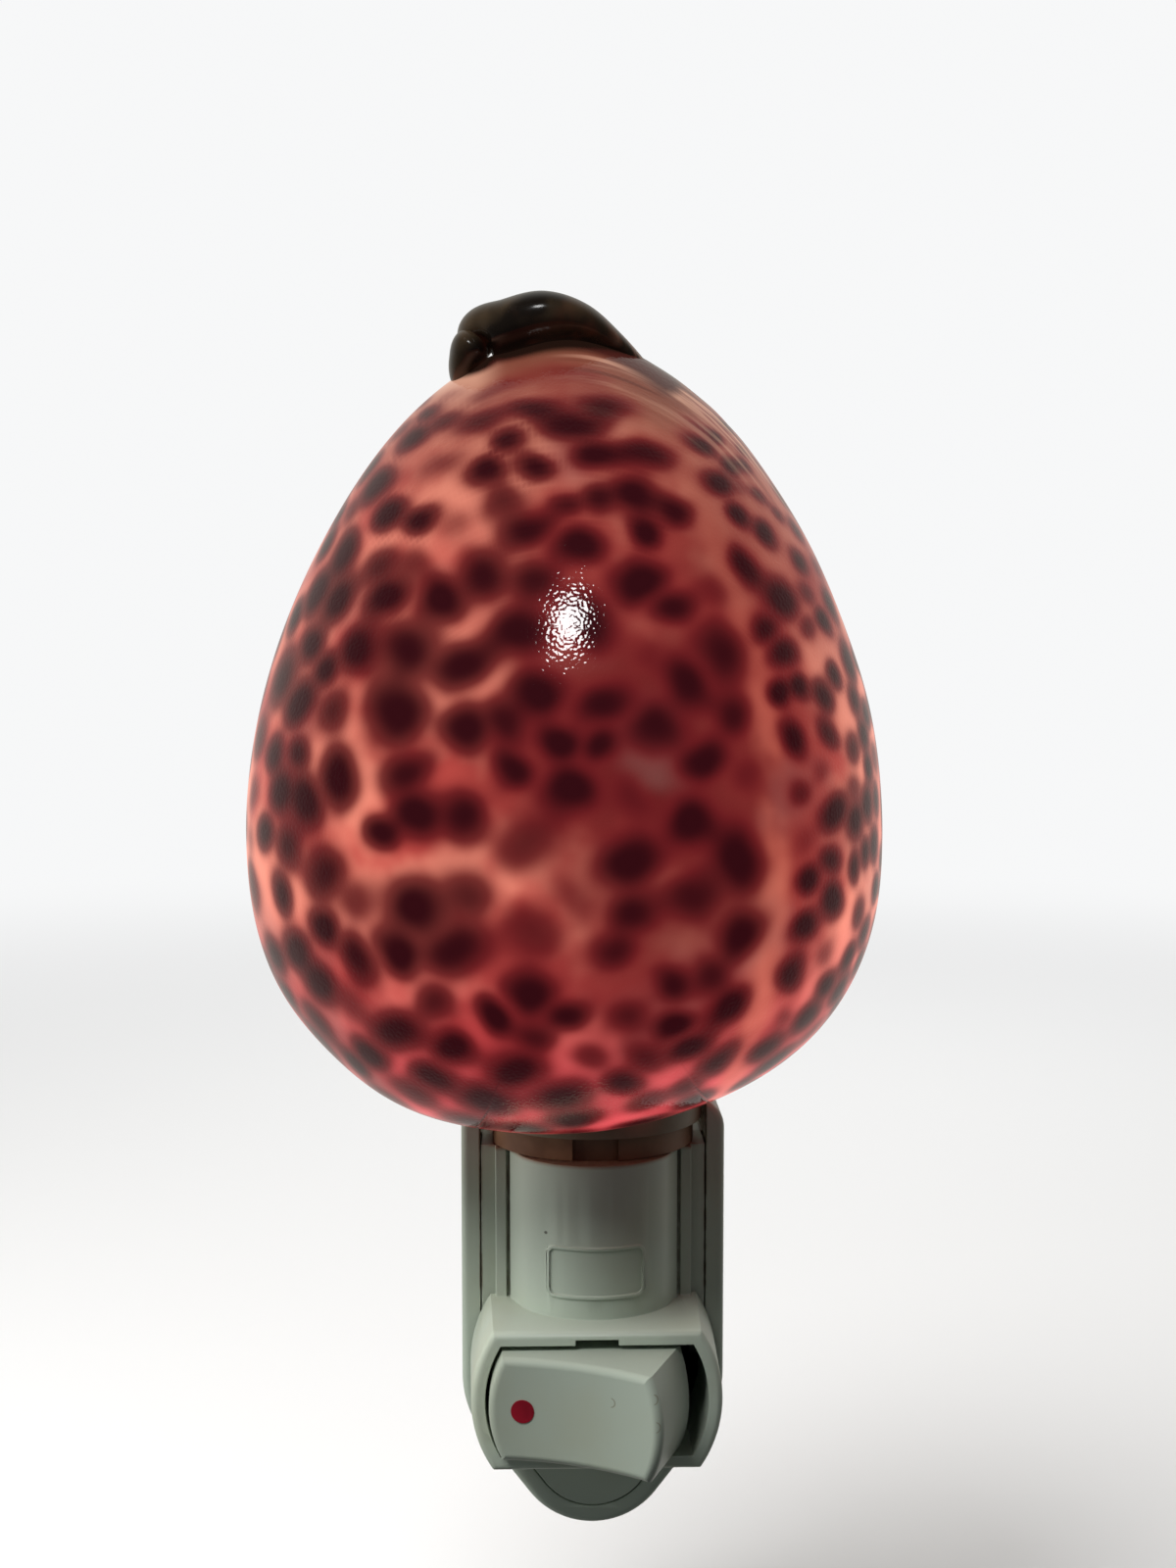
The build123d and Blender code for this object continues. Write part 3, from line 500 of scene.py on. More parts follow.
def growth_ridges(points):
    """Sine ridges in depth, from -1 to 1, so that they run alongside the dome's outline. They fade in above
    RIDGE_FROM and right of the lip's middle."""
    x, y, z = points[..., 0], points[..., 1], points[..., 2]
    fade = np.clip((z - RIDGE_FROM) / RIDGE_RISE, 0, 1) * np.clip((x - RIDGE_LEFT) / RIDGE_RISE, 0, 1)
    return fade * np.sin(2 * math.pi * (y + RIDGE_SWAY * np.sin(RIDGE_SWAY_TURN * z)) / RIDGE_PITCH)


way_out = outer - SHELL_CENTRE
way_out = way_out / np.linalg.norm(way_out, axis=-1, keepdims=True)
slow_waves = sine_sum(outer, WAVES) / len(WAVES)
lift = WAVE_HIGH * slow_waves + RIDGE_HIGH * growth_ridges(outer) + SWELL_HIGH * low_swell(outer)
lift = lift * np.clip((1 - np.linspace(0, 1, OUTER_ROWS)) / EDGE_SHARE, 0, 1)[:, None]
outer = outer + way_out * lift[..., None]
print("largest lift, mm:", round(float(np.abs(lift).max()), 2))

# %% [markdown]
# ## Where the lip lies
# At the narrow end the last growth of the shell curls over in a dark, glassy roll, with a smaller fold at
# its left end. Both follow a smooth path, given by a short list of stations. The path is needed before
# the colours, because the spots fade out and the glaze turns to horn brown where the dome meets the roll.

# %% Lip paths
MAIN_ROLL = [           # x, y, z, half size across the path, half size in depth
    (-12.6, -20.8, 98.4, 1.8, 4.6),
    (-12.2, -22.0, 101.2, 2.7, 5.4),
    (-9.2, -23.2, 102.0, 2.8, 6.0),
    (-5.4, -23.4, 102.9, 2.7, 6.2),
    (-1.6, -22.4, 102.4, 2.1, 6.0),
    (2.0, -20.8, 100.4, 1.4, 5.2),
    (5.4, -19.6, 97.6, 0.9, 4.4),
    (8.6, -18.8, 94.4, 0.5, 3.4),
]
END_FOLD = [
    (-14.9, -22.0, 95.9, 0.7, 2.8),
    (-14.1, -23.0, 98.0, 1.5, 3.8),
    (-13.2, -23.6, 99.7, 2.0, 4.2),
    (-12.0, -23.2, 101.0, 1.6, 3.6),
]
GAP_SHARES = np.linspace(0.06, 0.94, 60)
NO_GAP = 99.0


def smooth_through(stations, shares):
    """A curve through evenly spaced rows of numbers: between two rows, the cubic whose slope at each row is
    half the step between that row's neighbours."""
    rows = np.asarray(stations, float)
    padded = np.concatenate([2 * rows[:1] - rows[1:2], rows, 2 * rows[-1:] - rows[-2:-1]])
    spot = np.clip(shares, 0, 1) * (len(rows) - 1)
    first = np.minimum(spot.astype(int), len(rows) - 2)
    part = (spot - first)[:, None]
    before, start, end, after = (padded[first + step] for step in range(4))
    square = 2 * before - 5 * start + 4 * end - after
    cube = 3 * start - 3 * end + after - before
    return 0.5 * (2 * start + (end - before) * part + square * part**2 + cube * part**3)


def lip_gap(points):
    """Distance in millimetres from each point to the roll, taken as a row of ellipsoids along its path:
    each ellipsoid's scaled distance, less one, times its smaller half size. That comes out short in depth,
    most of all at the thin right end."""
    gap = np.full(len(points), NO_GAP)
    for station in smooth_through(MAIN_ROLL, GAP_SHARES):
        step = points - station[:3]
        flat = (step[:, 0] ** 2 + step[:, 2] ** 2) / station[3] ** 2
        scaled = np.sqrt(flat + step[:, 1] ** 2 / station[4] ** 2)
        gap = np.minimum(gap, (scaled - 1) * station[3])
    return gap


print("roll from", MAIN_ROLL[0][:3], "to", MAIN_ROLL[-1][:3])

# %% [markdown]
# ## Where the spots lie
# The mantle lays its colour down in drops, so spots keep a distance from each other but are never in
# rows. The places are drawn at random and kept only where no earlier spot is too near. Right of the pale
# line, where the two mantle lobes met, the spots are smaller and closer. A grid of dots would be quicker,
# and would look printed.

# %% Spots
SEED = 11
TRIES = 16000
LINE_X = 17.2
LINE_BEND = 14.0
LINE_MIDDLE_Z = 48.0
LINE_HALF = 50.0
LINE_CLEAR = 2.0
WIDE_GAP = 5.5
CLOSE_GAP = 4.0
SMEAR_FROM = 80.0
SMEAR_RISE = 12.0
TOP_CLOSER = 0.85
GAP_SHRINK = (1.1, 0.74)
RADIUS_SHARE = 0.5
RADIUS_SPREAD = (0.82, 1.1)
STRONGEST = 1.1
FAINTER = 0.7
FAINT_POWER = 4


def line_x(z):
    """Where the pale line runs at a height: a shallow arc that bows to the right."""
    return LINE_X - LINE_BEND * ((z - LINE_MIDDLE_Z) / LINE_HALF) ** 2


def spot_gap(places):
    """Least distance to the next spot: close right of the pale line, and closer towards the narrow end."""
    gap = np.where(places[..., 0] > line_x(places[..., 2]), CLOSE_GAP, WIDE_GAP)
    return gap * np.where(places[..., 2] > SMEAR_FROM, TOP_CLOSER, 1.0)


def spread_spots(candidates, gaps):
    """Keeps each candidate that stands its own gap away from all those kept before."""
    kept = [0]
    for number, gap in enumerate(gaps):
        if np.linalg.norm(candidates[kept] - candidates[number], axis=1).min() > gap:
            kept.append(number)
    return np.array(kept)


# Grid points crowd at the crown, so each is drawn with a chance in step with the width of its cell. The
# first spots keep wide gaps, and later ones may fill in closer. A few come out faint.
chance = np.random.default_rng(SEED)
flat_outer = outer.reshape(-1, 3)
row_step = np.linalg.norm(np.roll(outer, -1, axis=1) - outer, axis=-1).reshape(-1)
picked = chance.choice(len(flat_outer), size=TRIES, replace=False, p=row_step / row_step.sum())
candidates = flat_outer[picked]
off_line = np.abs(candidates[:, 0] - line_x(candidates[:, 2])) > LINE_CLEAR
candidates = candidates[off_line | (candidates[:, 1] > SHELL_CENTRE[1])]
gaps = spot_gap(candidates) * np.linspace(*GAP_SHRINK, len(candidates))
spots = candidates[spread_spots(candidates, gaps)]
spot_steps = np.linalg.norm(spots[:, None] - spots[None, :], axis=-1)
nearest = np.sort(spot_steps, axis=1)[:, 1]
spot_radii = RADIUS_SHARE * nearest * chance.uniform(*RADIUS_SPREAD, len(spots))
spot_strengths = STRONGEST - FAINTER * chance.random(len(spots)) ** FAINT_POWER
print("spots:", len(spots))

# %% [markdown]
# ## How deep the colour lies
# A drop of colour is thickest in its middle and thins out to nothing, so its edge is soft. The spots could
# be painted on an image, but then their edges would be only as fine as its pixels. Instead every point of
# the mesh carries how deep the colour lies there, and the shader turns that number into glow.

# %% Spot depth on every point
SPOT_WIDER = 1.08
SMEAR = 0.4
FALL_OFF = 0.7
FALL_POWER = 2.2
DARK_DEPTH = 0.5
NO_LINE = 20.0
WARP_WAVES = [(0.2, 0.0, 0.45, 0.0), (0.4, 0.0, 0.0, 1.1), (0.42, 0.0, -0.25, 0.0)]
WARP_RIPPLES = [(-0.6, 0.0, 1.1, 0.0), (0.9, 0.0, 0.0, 0.7), (1.15, 0.0, 0.5, 0.0)]
WAVE_STEP = 0.55
RIPPLE_STEP = 0.15


def spot_depth(points):
    """How deep the colour lies at each point. One drop gives strength times exp(-FALL_OFF q^FALL_POWER),
    where q is the distance in drop radii: the power keeps its middle even and its edge soft. The drops'
    squares are summed and the root is taken, so neighbours meet without running into one. Drops are a
    little wider than tall, and near the narrow end more so, which smears them along the growth lines."""
    depth = np.zeros(len(points))
    smear = SMEAR * np.clip((points[:, 2] - SMEAR_FROM) / SMEAR_RISE, 0, 1)
    for centre, radius, strength in zip(spots, spot_radii, spot_strengths):
        step = points - centre
        step[:, 0] /= SPOT_WIDER + smear
        step[:, 2] *= 1.0 + smear
        radii_squared = (step**2).sum(axis=1) / radius**2
        depth += (strength * np.exp(-FALL_OFF * radii_squared ** (FALL_POWER / 2))) ** 2
    return np.sqrt(depth)


def warped(points):
    """The points moved by at most about a millimetre, in slow waves and quicker ripples, so that no spot is
    a disc. The rows of each list move them along X, Y and Z."""
    waves, ripples = (np.stack([sine_sum(points, [row]) for row in rows], axis=1)
                      for rows in (WARP_WAVES, WARP_RIPPLES))
    return points + WAVE_STEP * waves + RIPPLE_STEP * ripples


outer_points = np.concatenate([[SHELL_CENTRE - [0, SHELL_HALF_DEEP, 0]], flat_outer])
inner_crown = SHELL_CENTRE - [0, SHELL_HALF_DEEP - WALL_THICK, 0]
inner_points = np.concatenate([[inner_crown], inner.reshape(-1, 3)])
spot_depths = spot_depth(warped(outer_points))
line_distance = np.abs(outer_points[:, 0] - line_x(outer_points[:, 2]))
line_distance = np.where(outer_points[:, 1] < SHELL_CENTRE[1], line_distance, NO_LINE)
print("points inside a spot:", round(float((spot_depths > DARK_DEPTH).mean()), 2))

# %% [markdown]
# ## The shell's glow
# The wall is thin, so the bulb behind it shows as coral light: redder at the foot, brown and horn-like
# towards the narrow end, and dim in a broad patch in the middle. The light is written as emission colour,
# because the bulb's own light through two millimetres of shell would take long to trace. The names that
# hold two numbers are the start and the end of a soft step, in millimetres, in noise from 0 to 1, or in
# depth of colour.

# %% Light through the bare wall
CORAL = srgb(250, 150, 126)
DEEP_CORAL = srgb(190, 76, 68)
LOW_CORAL = srgb(232, 86, 92)
LOW_DEEP = srgb(172, 52, 58)
BROWN = srgb(112, 60, 48)
TAN = srgb(134, 92, 74)
MIDDLE = srgb(82, 21, 22)
HAZE = srgb(140, 98, 92)
LINE_GLOW = srgb(212, 112, 92)
MIDDLE_X = 4.0
MIDDLE_Z = 56.0
MIDDLE_HALF_WIDE = 24.0
MIDDLE_HALF_TALL = 34.0
MIDDLE_CLOUDS = 0.16
CORAL_CLOUDS = (0.36, 0.6)
MIDDLE_DRIFT = (0.2, 0.55)
FOOT_HEIGHT = (46.0, 22.0)
LINE_WIDTH = (2.6, 0.4)
LINE_CLOUDS = (0.3, 0.5)
LINE_SHARE = 0.5
TOP_HEIGHT = (72.0, 96.0)
TOP_CLOUDS = (0.4, 0.6)
TOP_SHARE = 0.85
SHOULDER_HEIGHT = (56.0, 76.0)
SHOULDER_ACROSS = (0.0, 16.0)
SHOULDER_SHARE = 0.6
HAZE_DRIFT = (0.54, 0.72)
HAZE_SHARE = 0.45


def wall_glow(finish, cloud):
    """The bare wall's light: cloudy coral, then the dim middle, the pale line, the brown top, the darker
    right shoulder and the patches of haze."""
    height = finish.mm("Z")
    across = finish.mm("X")
    drift = finish.noise(scale=50.0, detail=3.0)
    low = height.smooth(*FOOT_HEIGHT)
    off_x = (across - MIDDLE_X) / MIDDLE_HALF_WIDE
    off_z = (height - MIDDLE_Z) / MIDDLE_HALF_TALL
    middle = (1.0 - off_x * off_x - off_z * off_z).clamp()
    deep = finish.mix(low, DEEP_CORAL, LOW_DEEP)
    light = finish.mix(low, CORAL, LOW_CORAL)
    glow = finish.mix((cloud - middle * MIDDLE_CLOUDS).smooth(*CORAL_CLOUDS), deep, light)
    glow = finish.mix(middle * drift.smooth(*MIDDLE_DRIFT), glow, MIDDLE)
    line = finish.mask("line_distance").smooth(*LINE_WIDTH) * cloud.smooth(*LINE_CLOUDS)
    glow = finish.mix(line * LINE_SHARE, glow, LINE_GLOW)
    top = finish.mix(cloud.smooth(*TOP_CLOUDS), BROWN, TAN)
    glow = finish.mix(height.smooth(*TOP_HEIGHT) * TOP_SHARE, glow, top)
    shoulder = height.smooth(*SHOULDER_HEIGHT) * across.smooth(*SHOULDER_ACROSS)
    glow = finish.mix(shoulder * SHOULDER_SHARE, glow, MIDDLE)
    return finish.mix(drift.smooth(*HAZE_DRIFT) * HAZE_SHARE, glow, HAZE)


# %% [markdown]
# ## Marks in the glow
# Over the coral lie the marks that the shell grew: wine-red drops with maroon hearts, horn brown beside
# the lip, and thin streaks on the right of the narrow end, which run along the growth lines. A streak is
# a noise squeezed along one axis. Over them lies a painted shadow, where the slit under the roll is in
# shade. Each mark is one more colour mix, laid over those before.

# %% Spots, horn and streaks
WINE = srgb(112, 27, 31)
MAROON = srgb(46, 6, 12)
HORN = srgb(100, 62, 46)
PALE_HORN = srgb(196, 150, 126)
DARK_HORN_AND_SHADOW = srgb(30, 18, 13)
HORN_SHARE = 0.9
PALE_LEFT = (-9.0, -13.0)
LIP_SLIT_SHADOW = (2.2, 0.9)
WINE_DEPTH = (0.02, 0.6)
WINE_SHARE = 0.9
MAROON_DEPTH = (0.25, 1.05)
STREAK_SQUEEZE = (60.0, 900.0, 60.0)
STREAK_FRONT = (-36.0, -26.0)
STREAK_BACK = (-8.0, -18.0)
STREAK_HEIGHT = (78.0, 94.0)
STREAK_ACROSS = (-6.0, 2.0)
PALE_STREAKS = (0.5, 0.66)
DARK_STREAKS = (0.46, 0.34)
STREAK_SHARE = 0.8


def growth_streaks(finish):
    """Noise in layers along the growth lines: features are long in X and Z, and a millimetre thick in Y."""
    return finish.noise(scale=1.0, detail=3.0, place=finish.stretched(STREAK_SQUEEZE))


def marked(finish, glow, spot, near_lip):
    """The glow with its marks: horn beside the lip, spots, streaks, and a painted shadow in the slit beside
    the roll.
    """
    across = finish.mm("X")
    depth = finish.mm("Y")
    horn = finish.mix(across.smooth(*PALE_LEFT), HORN, PALE_HORN)
    glow = finish.mix(near_lip * HORN_SHARE, glow, horn)
    glow = finish.mix(spot.smooth(*WINE_DEPTH) * WINE_SHARE, glow, WINE)
    glow = finish.mix(spot.smooth(*MAROON_DEPTH), glow, MAROON)
    outward = depth.smooth(*STREAK_FRONT) * depth.smooth(*STREAK_BACK)
    right = finish.mm("Z").smooth(*STREAK_HEIGHT) * across.smooth(*STREAK_ACROSS) * outward
    streaks = growth_streaks(finish)
    glow = finish.mix(streaks.smooth(*PALE_STREAKS) * right * STREAK_SHARE, glow, PALE_HORN)
    glow = finish.mix(streaks.smooth(*DARK_STREAKS) * right * STREAK_SHARE, glow, DARK_HORN_AND_SHADOW)
    # Painted shadow: the dome turns near black within about two millimetres of the roll, where the slit
    # under it is in shade.
    return finish.mix(finish.mask("lip_gap").smooth(*LIP_SLIT_SHADOW), glow, DARK_HORN_AND_SHADOW)


# %% [markdown]
# ## The shell's glaze
# Two layers make the look: the glow from within, and over it a clear, hard glaze with a sharp gloss. Fine
# pits and ripples break the gloss a little, as polishing leaves them. The inner wall was ground, so it
# has no spots. It is lit by the bulb beside it, and its light fades with the distance from the bulb.

# %% Shell finish
INNER_NEAR = srgb(246, 190, 140)
INNER_FAR = srgb(176, 92, 66)
INNER_PAINT = srgb(150, 128, 112)
BARE_PAINT = srgb(70, 24, 22)
SPOT_PAINT = srgb(14, 4, 5)
PAINT_DEPTH = (0.1, 0.6)
NEAR_LIP = (8.0, 1.5)
INNER_STEP = (0.1, 0.35)
INNER_FADE = (12.0, 58.0)
INNER_CLOUDS = 20.0
BULB_Z = 38.0
SPOT_GRAIN = 0.05
GLOW_STRENGTH = 1.05


def inner_glow(finish, cloud):
    """The inner wall's light, by distance from the bulb, with an edge that the clouds make uneven."""
    off_bulb = length(finish.mm("X"), finish.mm("Y") - SOCKET_Y, finish.mm("Z") - BULB_Z)
    faded = (off_bulb + (cloud - 0.5) * INNER_CLOUDS).smooth(*INNER_FADE)
    return finish.mix(faded, INNER_NEAR, INNER_FAR)


def shell_finish():
    """Spotted glaze lit from behind."""
    finish = Finish("spotted_cowrie_glaze")
    cloud = finish.noise(scale=75.0, detail=3.0)
    fine = finish.noise(scale=420.0, detail=3.0)
    pits = finish.noise(scale=3000.0, detail=0.0)
    near_lip = finish.mask("lip_gap").smooth(*NEAR_LIP)
    spot = (finish.mask("spot_depth") + (fine - 0.5) * SPOT_GRAIN) * (1.0 - near_lip)
    inside = finish.mask("inside").smooth(*INNER_STEP)
    glow = marked(finish, wall_glow(finish, cloud), spot, near_lip)
    paint = finish.mix(spot.smooth(*PAINT_DEPTH), BARE_PAINT, SPOT_PAINT)
    finish.set(Base_Color=finish.mix(inside, paint, INNER_PAINT),
               Emission_Color=finish.mix(inside, glow, inner_glow(finish, cloud)),
               Emission_Strength=GLOW_STRENGTH, Roughness=pits * 0.06 + 0.03)
    return finish.bump(pits + fine * 0.3, strength=0.5, distance=0.05 * MM)


shell_glaze = shell_finish()
print("glaze nodes:", len(shell_glaze.tree.nodes))

# %% [markdown]
# ## The shell's mesh
# The outer and the inner grid are closed at the crown by a fan each, and joined along the cut by one row
# of quads, which is the ground edge. That edge is marked sharp, so that the smooth shading stops there.

# %% Shell mesh
RIM_SHARP = 40.0


def carry(piece, name, values):
    """Stores one number for each point of a piece's mesh."""
    layer = piece.data.attributes.new(name, "FLOAT", "POINT")
    layer.data.foreach_set("value", np.asarray(values, np.float32))


outer_count = len(outer_points)
outer_rim = 1 + (OUTER_ROWS - 1) * AROUND + np.arange(AROUND)
inner_rim = outer_count + 1 + (INNER_ROWS - 1) * AROUND + np.arange(AROUND)
rim = np.stack([outer_rim, np.roll(outer_rim, -1), np.roll(inner_rim, -1), inner_rim], axis=1)
shell_points = np.concatenate([outer_points, inner_points])
shell_faces = [*fan_faces(0, 1, AROUND, flip=True), *fan_faces(outer_count, outer_count + 1, AROUND),
               *grid_faces(OUTER_ROWS, AROUND, 1, flip=True),
               *grid_faces(INNER_ROWS, AROUND, outer_count + 1), *rim[:, ::-1]]
shell = make_piece("shell_dome", shell_points, shell_faces, "shade", shell_glaze)
shell.data.set_sharp_from_angle(angle=math.radians(RIM_SHARP))

inner_zeros = np.zeros(len(inner_points))
carry(shell, "spot_depth", np.concatenate([spot_depths, inner_zeros]))
carry(shell, "line_distance", np.concatenate([line_distance, inner_zeros + NO_LINE]))
carry(shell, "inside", np.concatenate([np.zeros(outer_count), inner_zeros + 1.0]))
carry(shell, "lip_gap", lip_gap(shell_points))
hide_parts("shell_shade")

# %% [markdown]
# ## The curled lip
# The roll and its end fold are tubes with an oval section that swells and thins along the paths above.
# Their ends close in a blunt dome, so they sink into the shell like grown folds.

# %% Lip tubes
LIP_AROUND = 72
LIP_ALONG = 140
LIP_BLUNT = 6
SECTION_POWER = 0.8


def oval_tube(stations):
    """Closed tube along the stations. A higher LIP_BLUNT makes fuller ends. The section is a superellipse:
    the cosine and sine of the angle round it, each raised to SECTION_POWER, which makes its front flatter
    than an ellipse's."""
    shares = (1 - np.cos(np.linspace(0, math.pi, LIP_ALONG + 2)[1:-1])) / 2
    rows = smooth_through(stations, shares)
    path = rows[:, :3]
    closing = np.sqrt(1 - np.abs(2 * shares - 1) ** LIP_BLUNT)[:, None]
    tangent = np.gradient(path, axis=0)
    tangent[:, 1] = 0
    tangent = tangent / np.linalg.norm(tangent, axis=1, keepdims=True)
    across = np.stack([-tangent[:, 2], np.zeros(LIP_ALONG), tangent[:, 0]], axis=1)
    depth = np.array([0.0, 1.0, 0.0])
    angle = np.linspace(0, 2 * math.pi, LIP_AROUND, endpoint=False)[None, :, None]
    side, front = (np.sign(wave) * np.abs(wave) ** SECTION_POWER
                   for wave in (np.cos(angle), np.sin(angle)))
    points = (path[:, None, :] + side * (rows[:, 3:4] * closing * across)[:, None, :]
              + front * (rows[:, 4:5] * closing)[:, None, :] * depth)
    ends = smooth_through(stations, np.array([0.0, 1.0]))[:, :3]
    last_row = 2 + (LIP_ALONG - 1) * LIP_AROUND
    faces = [*fan_faces(0, 2, LIP_AROUND, flip=True), *fan_faces(1, last_row, LIP_AROUND),
             *grid_faces(LIP_ALONG, LIP_AROUND, 2, flip=True)]
    return np.concatenate([ends, points.reshape(-1, 3)]), faces


# %% [markdown]
# ## The lip's finish
# The roll's glaze is horn brown and nearly black, with a faint emission: painted light of the bulb that
# shines through the thin horn. Where the roll runs out on the right it turns to pale streaks, which carry
# on in the dome, so it borrows the dome's streak noise and horn colours.

# %% Lip finish and pieces
LIP_BLACK = srgb(20, 16, 12)
LIP_BROWN = srgb(62, 50, 36)
LIP_DIM_GLOW = srgb(8, 5, 4)
LIP_GLOW_THROUGH = srgb(46, 16, 8)
BROWN_PATCHES = (0.4, 0.65)
HORN_ACROSS = (-2.0, 5.0)
HORN_STREAKS = (0.42, 0.6)
PALE_ACROSS = (1.0, 7.0)
LIP_GLOW_GRAIN = (0.5, 0.8)


def lip_finish():
    """Dark horn-brown glaze, which turns to pale streaks where the roll runs out on the right, with a faint
    painted glow for the bulb's light through it.
    """
    finish = Finish("dark_horn_lip")
    grain = finish.noise(scale=260.0, detail=3.0)
    patches = finish.noise(scale=120.0, detail=3.0)
    across = finish.mm("X")
    streaks = growth_streaks(finish)
    horn = finish.mix(patches.smooth(*BROWN_PATCHES), LIP_BLACK, LIP_BROWN)
    horn = finish.mix(across.smooth(*HORN_ACROSS) * streaks.smooth(*HORN_STREAKS), horn, HORN)
    horn = finish.mix(across.smooth(*PALE_ACROSS) * streaks.smooth(*PALE_STREAKS), horn, PALE_HORN)
    finish.set(Base_Color=horn, Roughness=grain * 0.12 + 0.12, Specular_IOR_Level=0.35,
               # Painted light: a faint, grainy emission stands in for the bulb's light through the roll.
               Emission_Color=finish.mix(grain.smooth(*LIP_GLOW_GRAIN), LIP_DIM_GLOW, LIP_GLOW_THROUGH),
               Emission_Strength=0.5)
    return finish.bump(grain, strength=0.2, distance=0.1 * MM)


lip_glaze = lip_finish()
for name, stations in (("lip_roll", MAIN_ROLL), ("lip_end_fold", END_FOLD)):
    points, faces = oval_tube(stations)
    lip = make_piece(name, points, faces, "shade", lip_glaze)
    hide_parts("shell_shade")

# %% [markdown]
# ## The moulded case
# The case is injection moulded in ivory plastic. The frame gives its true shape with sharp edges. A real
# moulding has edges rounded by about a tenth of a millimetre, which is what catches the light. So the two
# halves are copied, their flat faces are joined, and a bevel rounds their sharp edges. The rocker keeps
# its own mesh, because the frame already rounds it.

# %% Rounded copies
WELD = 0.002
FLAT_DEGREES = 0.8
SHARP_DEGREES = 28.0
EDGE_STEPS = 2
REAR_EDGE = 0.12
FRONT_EDGE = 0.09


def rounded_copy(node, body, finish, width):
    """A copy of a frame node that stands in its place. Its sharp edges are rounded by width millimetres."""
    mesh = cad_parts[node].data.copy()
    work = bmesh.new()
    work.from_mesh(mesh)
    bmesh.ops.remove_doubles(work, verts=work.verts, dist=WELD * MM)
    bmesh.ops.dissolve_limit(work, angle_limit=math.radians(FLAT_DEGREES), verts=work.verts,
                             edges=work.edges)
    work.to_mesh(mesh)
    work.free()
    mesh.materials.clear()
    mesh.materials.append(finish.material)
    mesh.polygons.foreach_set("use_smooth", np.ones(len(mesh.polygons), bool))
    mesh.set_sharp_from_angle(angle=math.radians(SHARP_DEGREES))
    piece = bpy.data.objects.new(node + "_moulding", mesh)
    scene.collection.objects.link(piece)
    bevel = piece.modifiers.new("edges", "BEVEL")
    bevel.width = width * MM
    bevel.segments = EDGE_STEPS
    bevel.limit_method = "ANGLE"
    bevel.angle_limit = math.radians(SHARP_DEGREES)
    bevel.harden_normals = True
    bevel.use_clamp_overlap = False
    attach(piece, body)
    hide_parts(node)
    print(piece.name, "faces", len(mesh.polygons))


# %% [markdown]
# ## Ivory plastic
# The plastic has yellowed in patches and has a fine satin texture from its mould. The case shows its
# years: brown grime in the seams and a dark speck. The deck under the shell gets a painted warm brown
# shade, for the shell's shadow and the bulb's light through it. The rocker has a few fingernail scuffs.
# Each mark is a band of colour at a distance from a line or a point, written in millimetres.

# %% Ivory finishes
IVORY = (190, 202, 186)
IVORY_AGED = (184, 186, 160)
GRIME = srgb(96, 74, 38)
DECK_WARM_SHADE = srgb(150, 112, 82)
SPECK_BROWN = srgb(60, 54, 44)
AGED_PATCHES = (0.4, 0.75)
AGED_SHARE = 0.5
FRONT_ONLY = (-0.8, -1.6)
SEAM_X = 12.58
SEAM_HALF = 0.08
GROOVE_X = 9.5
GROOVE_HALF = 0.12
GROOVE_SHARE = 0.7
SEAM_SOFT = 0.2
SEAM_FOOT = (-4.5, -3.5)
SEAM_RAGGED = (0.25, 0.6)
SEAM_SHARE = 0.7
DECK_HEIGHT = (12.0, 12.6)
DECK_EDGE = (12.2, 11.2)
DECK_SHADE_SHARE = 0.85
SPECK_X = -5.4
SPECK_Z = 4.8
SPECK_RADIUS = 0.12
SPECK_RAGGED = 0.3
SPECK_SHARE = 0.8
ROCKER_SHADE = 0.75
SCUFFS = [(1.1, -9.9, 0.5), (5.6, -11.4, 0.55), (5.4, -8.6, 0.5)]     # x, z, radius
SCUFF_HALF = 0.03
SCUFF_SOFT = 0.07
SCUFF_FADE = 0.25
SCUFF_SHARE = 0.5


def band(distance, half_width, soft):
    """1 within half_width of a line, falling to 0 over a soft step."""
    return distance.smooth(half_width + soft, half_width)


def case_wear_and_deck_shade(finish, colour, front):
    """The case's marks: grime in the two pairs of seams, painted warm shade on the deck under the shell,
    and the speck.
    """
    across = finish.mm("X")
    height = finish.mm("Z")
    ragged = finish.noise(scale=500.0, detail=3.0)
    upright = height.smooth(*SEAM_FOOT) * ragged.smooth(*SEAM_RAGGED)
    seam = band((across.size() - SEAM_X).size(), SEAM_HALF, SEAM_SOFT)
    groove = band((across.size() - GROOVE_X).size(), GROOVE_HALF, SEAM_SOFT)
    grime = upright * (seam + groove * GROOVE_SHARE).clamp()
    colour = finish.mix(grime * front * SEAM_SHARE, colour, GRIME)
    # Painted shade: the deck under the shell turns warm brown, for the shell's shadow there and the bulb's
    # light through the shell.
    deck = height.smooth(*DECK_HEIGHT) * across.size().smooth(*DECK_EDGE)
    colour = finish.mix(deck * front * DECK_SHADE_SHARE, colour, DECK_WARM_SHADE)
    off_speck = length(across - SPECK_X, height - SPECK_Z) + (ragged - 0.5) * SPECK_RAGGED
    speck = band(off_speck, SPECK_RADIUS, SPECK_RADIUS)
    return finish.mix(speck * front * SPECK_SHARE, colour, SPECK_BROWN)


def scuffed(finish, colour, front):
    """The rocker's scuffs: thin arcs, the right half of a ring each."""
    across = finish.mm("X")
    for scuff_x, scuff_z, radius in SCUFFS:
        off_centre = length(across - scuff_x, finish.mm("Z") - scuff_z)
        mark = band((off_centre - radius).size(), SCUFF_HALF, SCUFF_SOFT)
        mark = mark * (across - scuff_x).smooth(0.0, SCUFF_FADE)
        colour = finish.mix(mark * front * SCUFF_SHARE, colour, GRIME)
    return colour


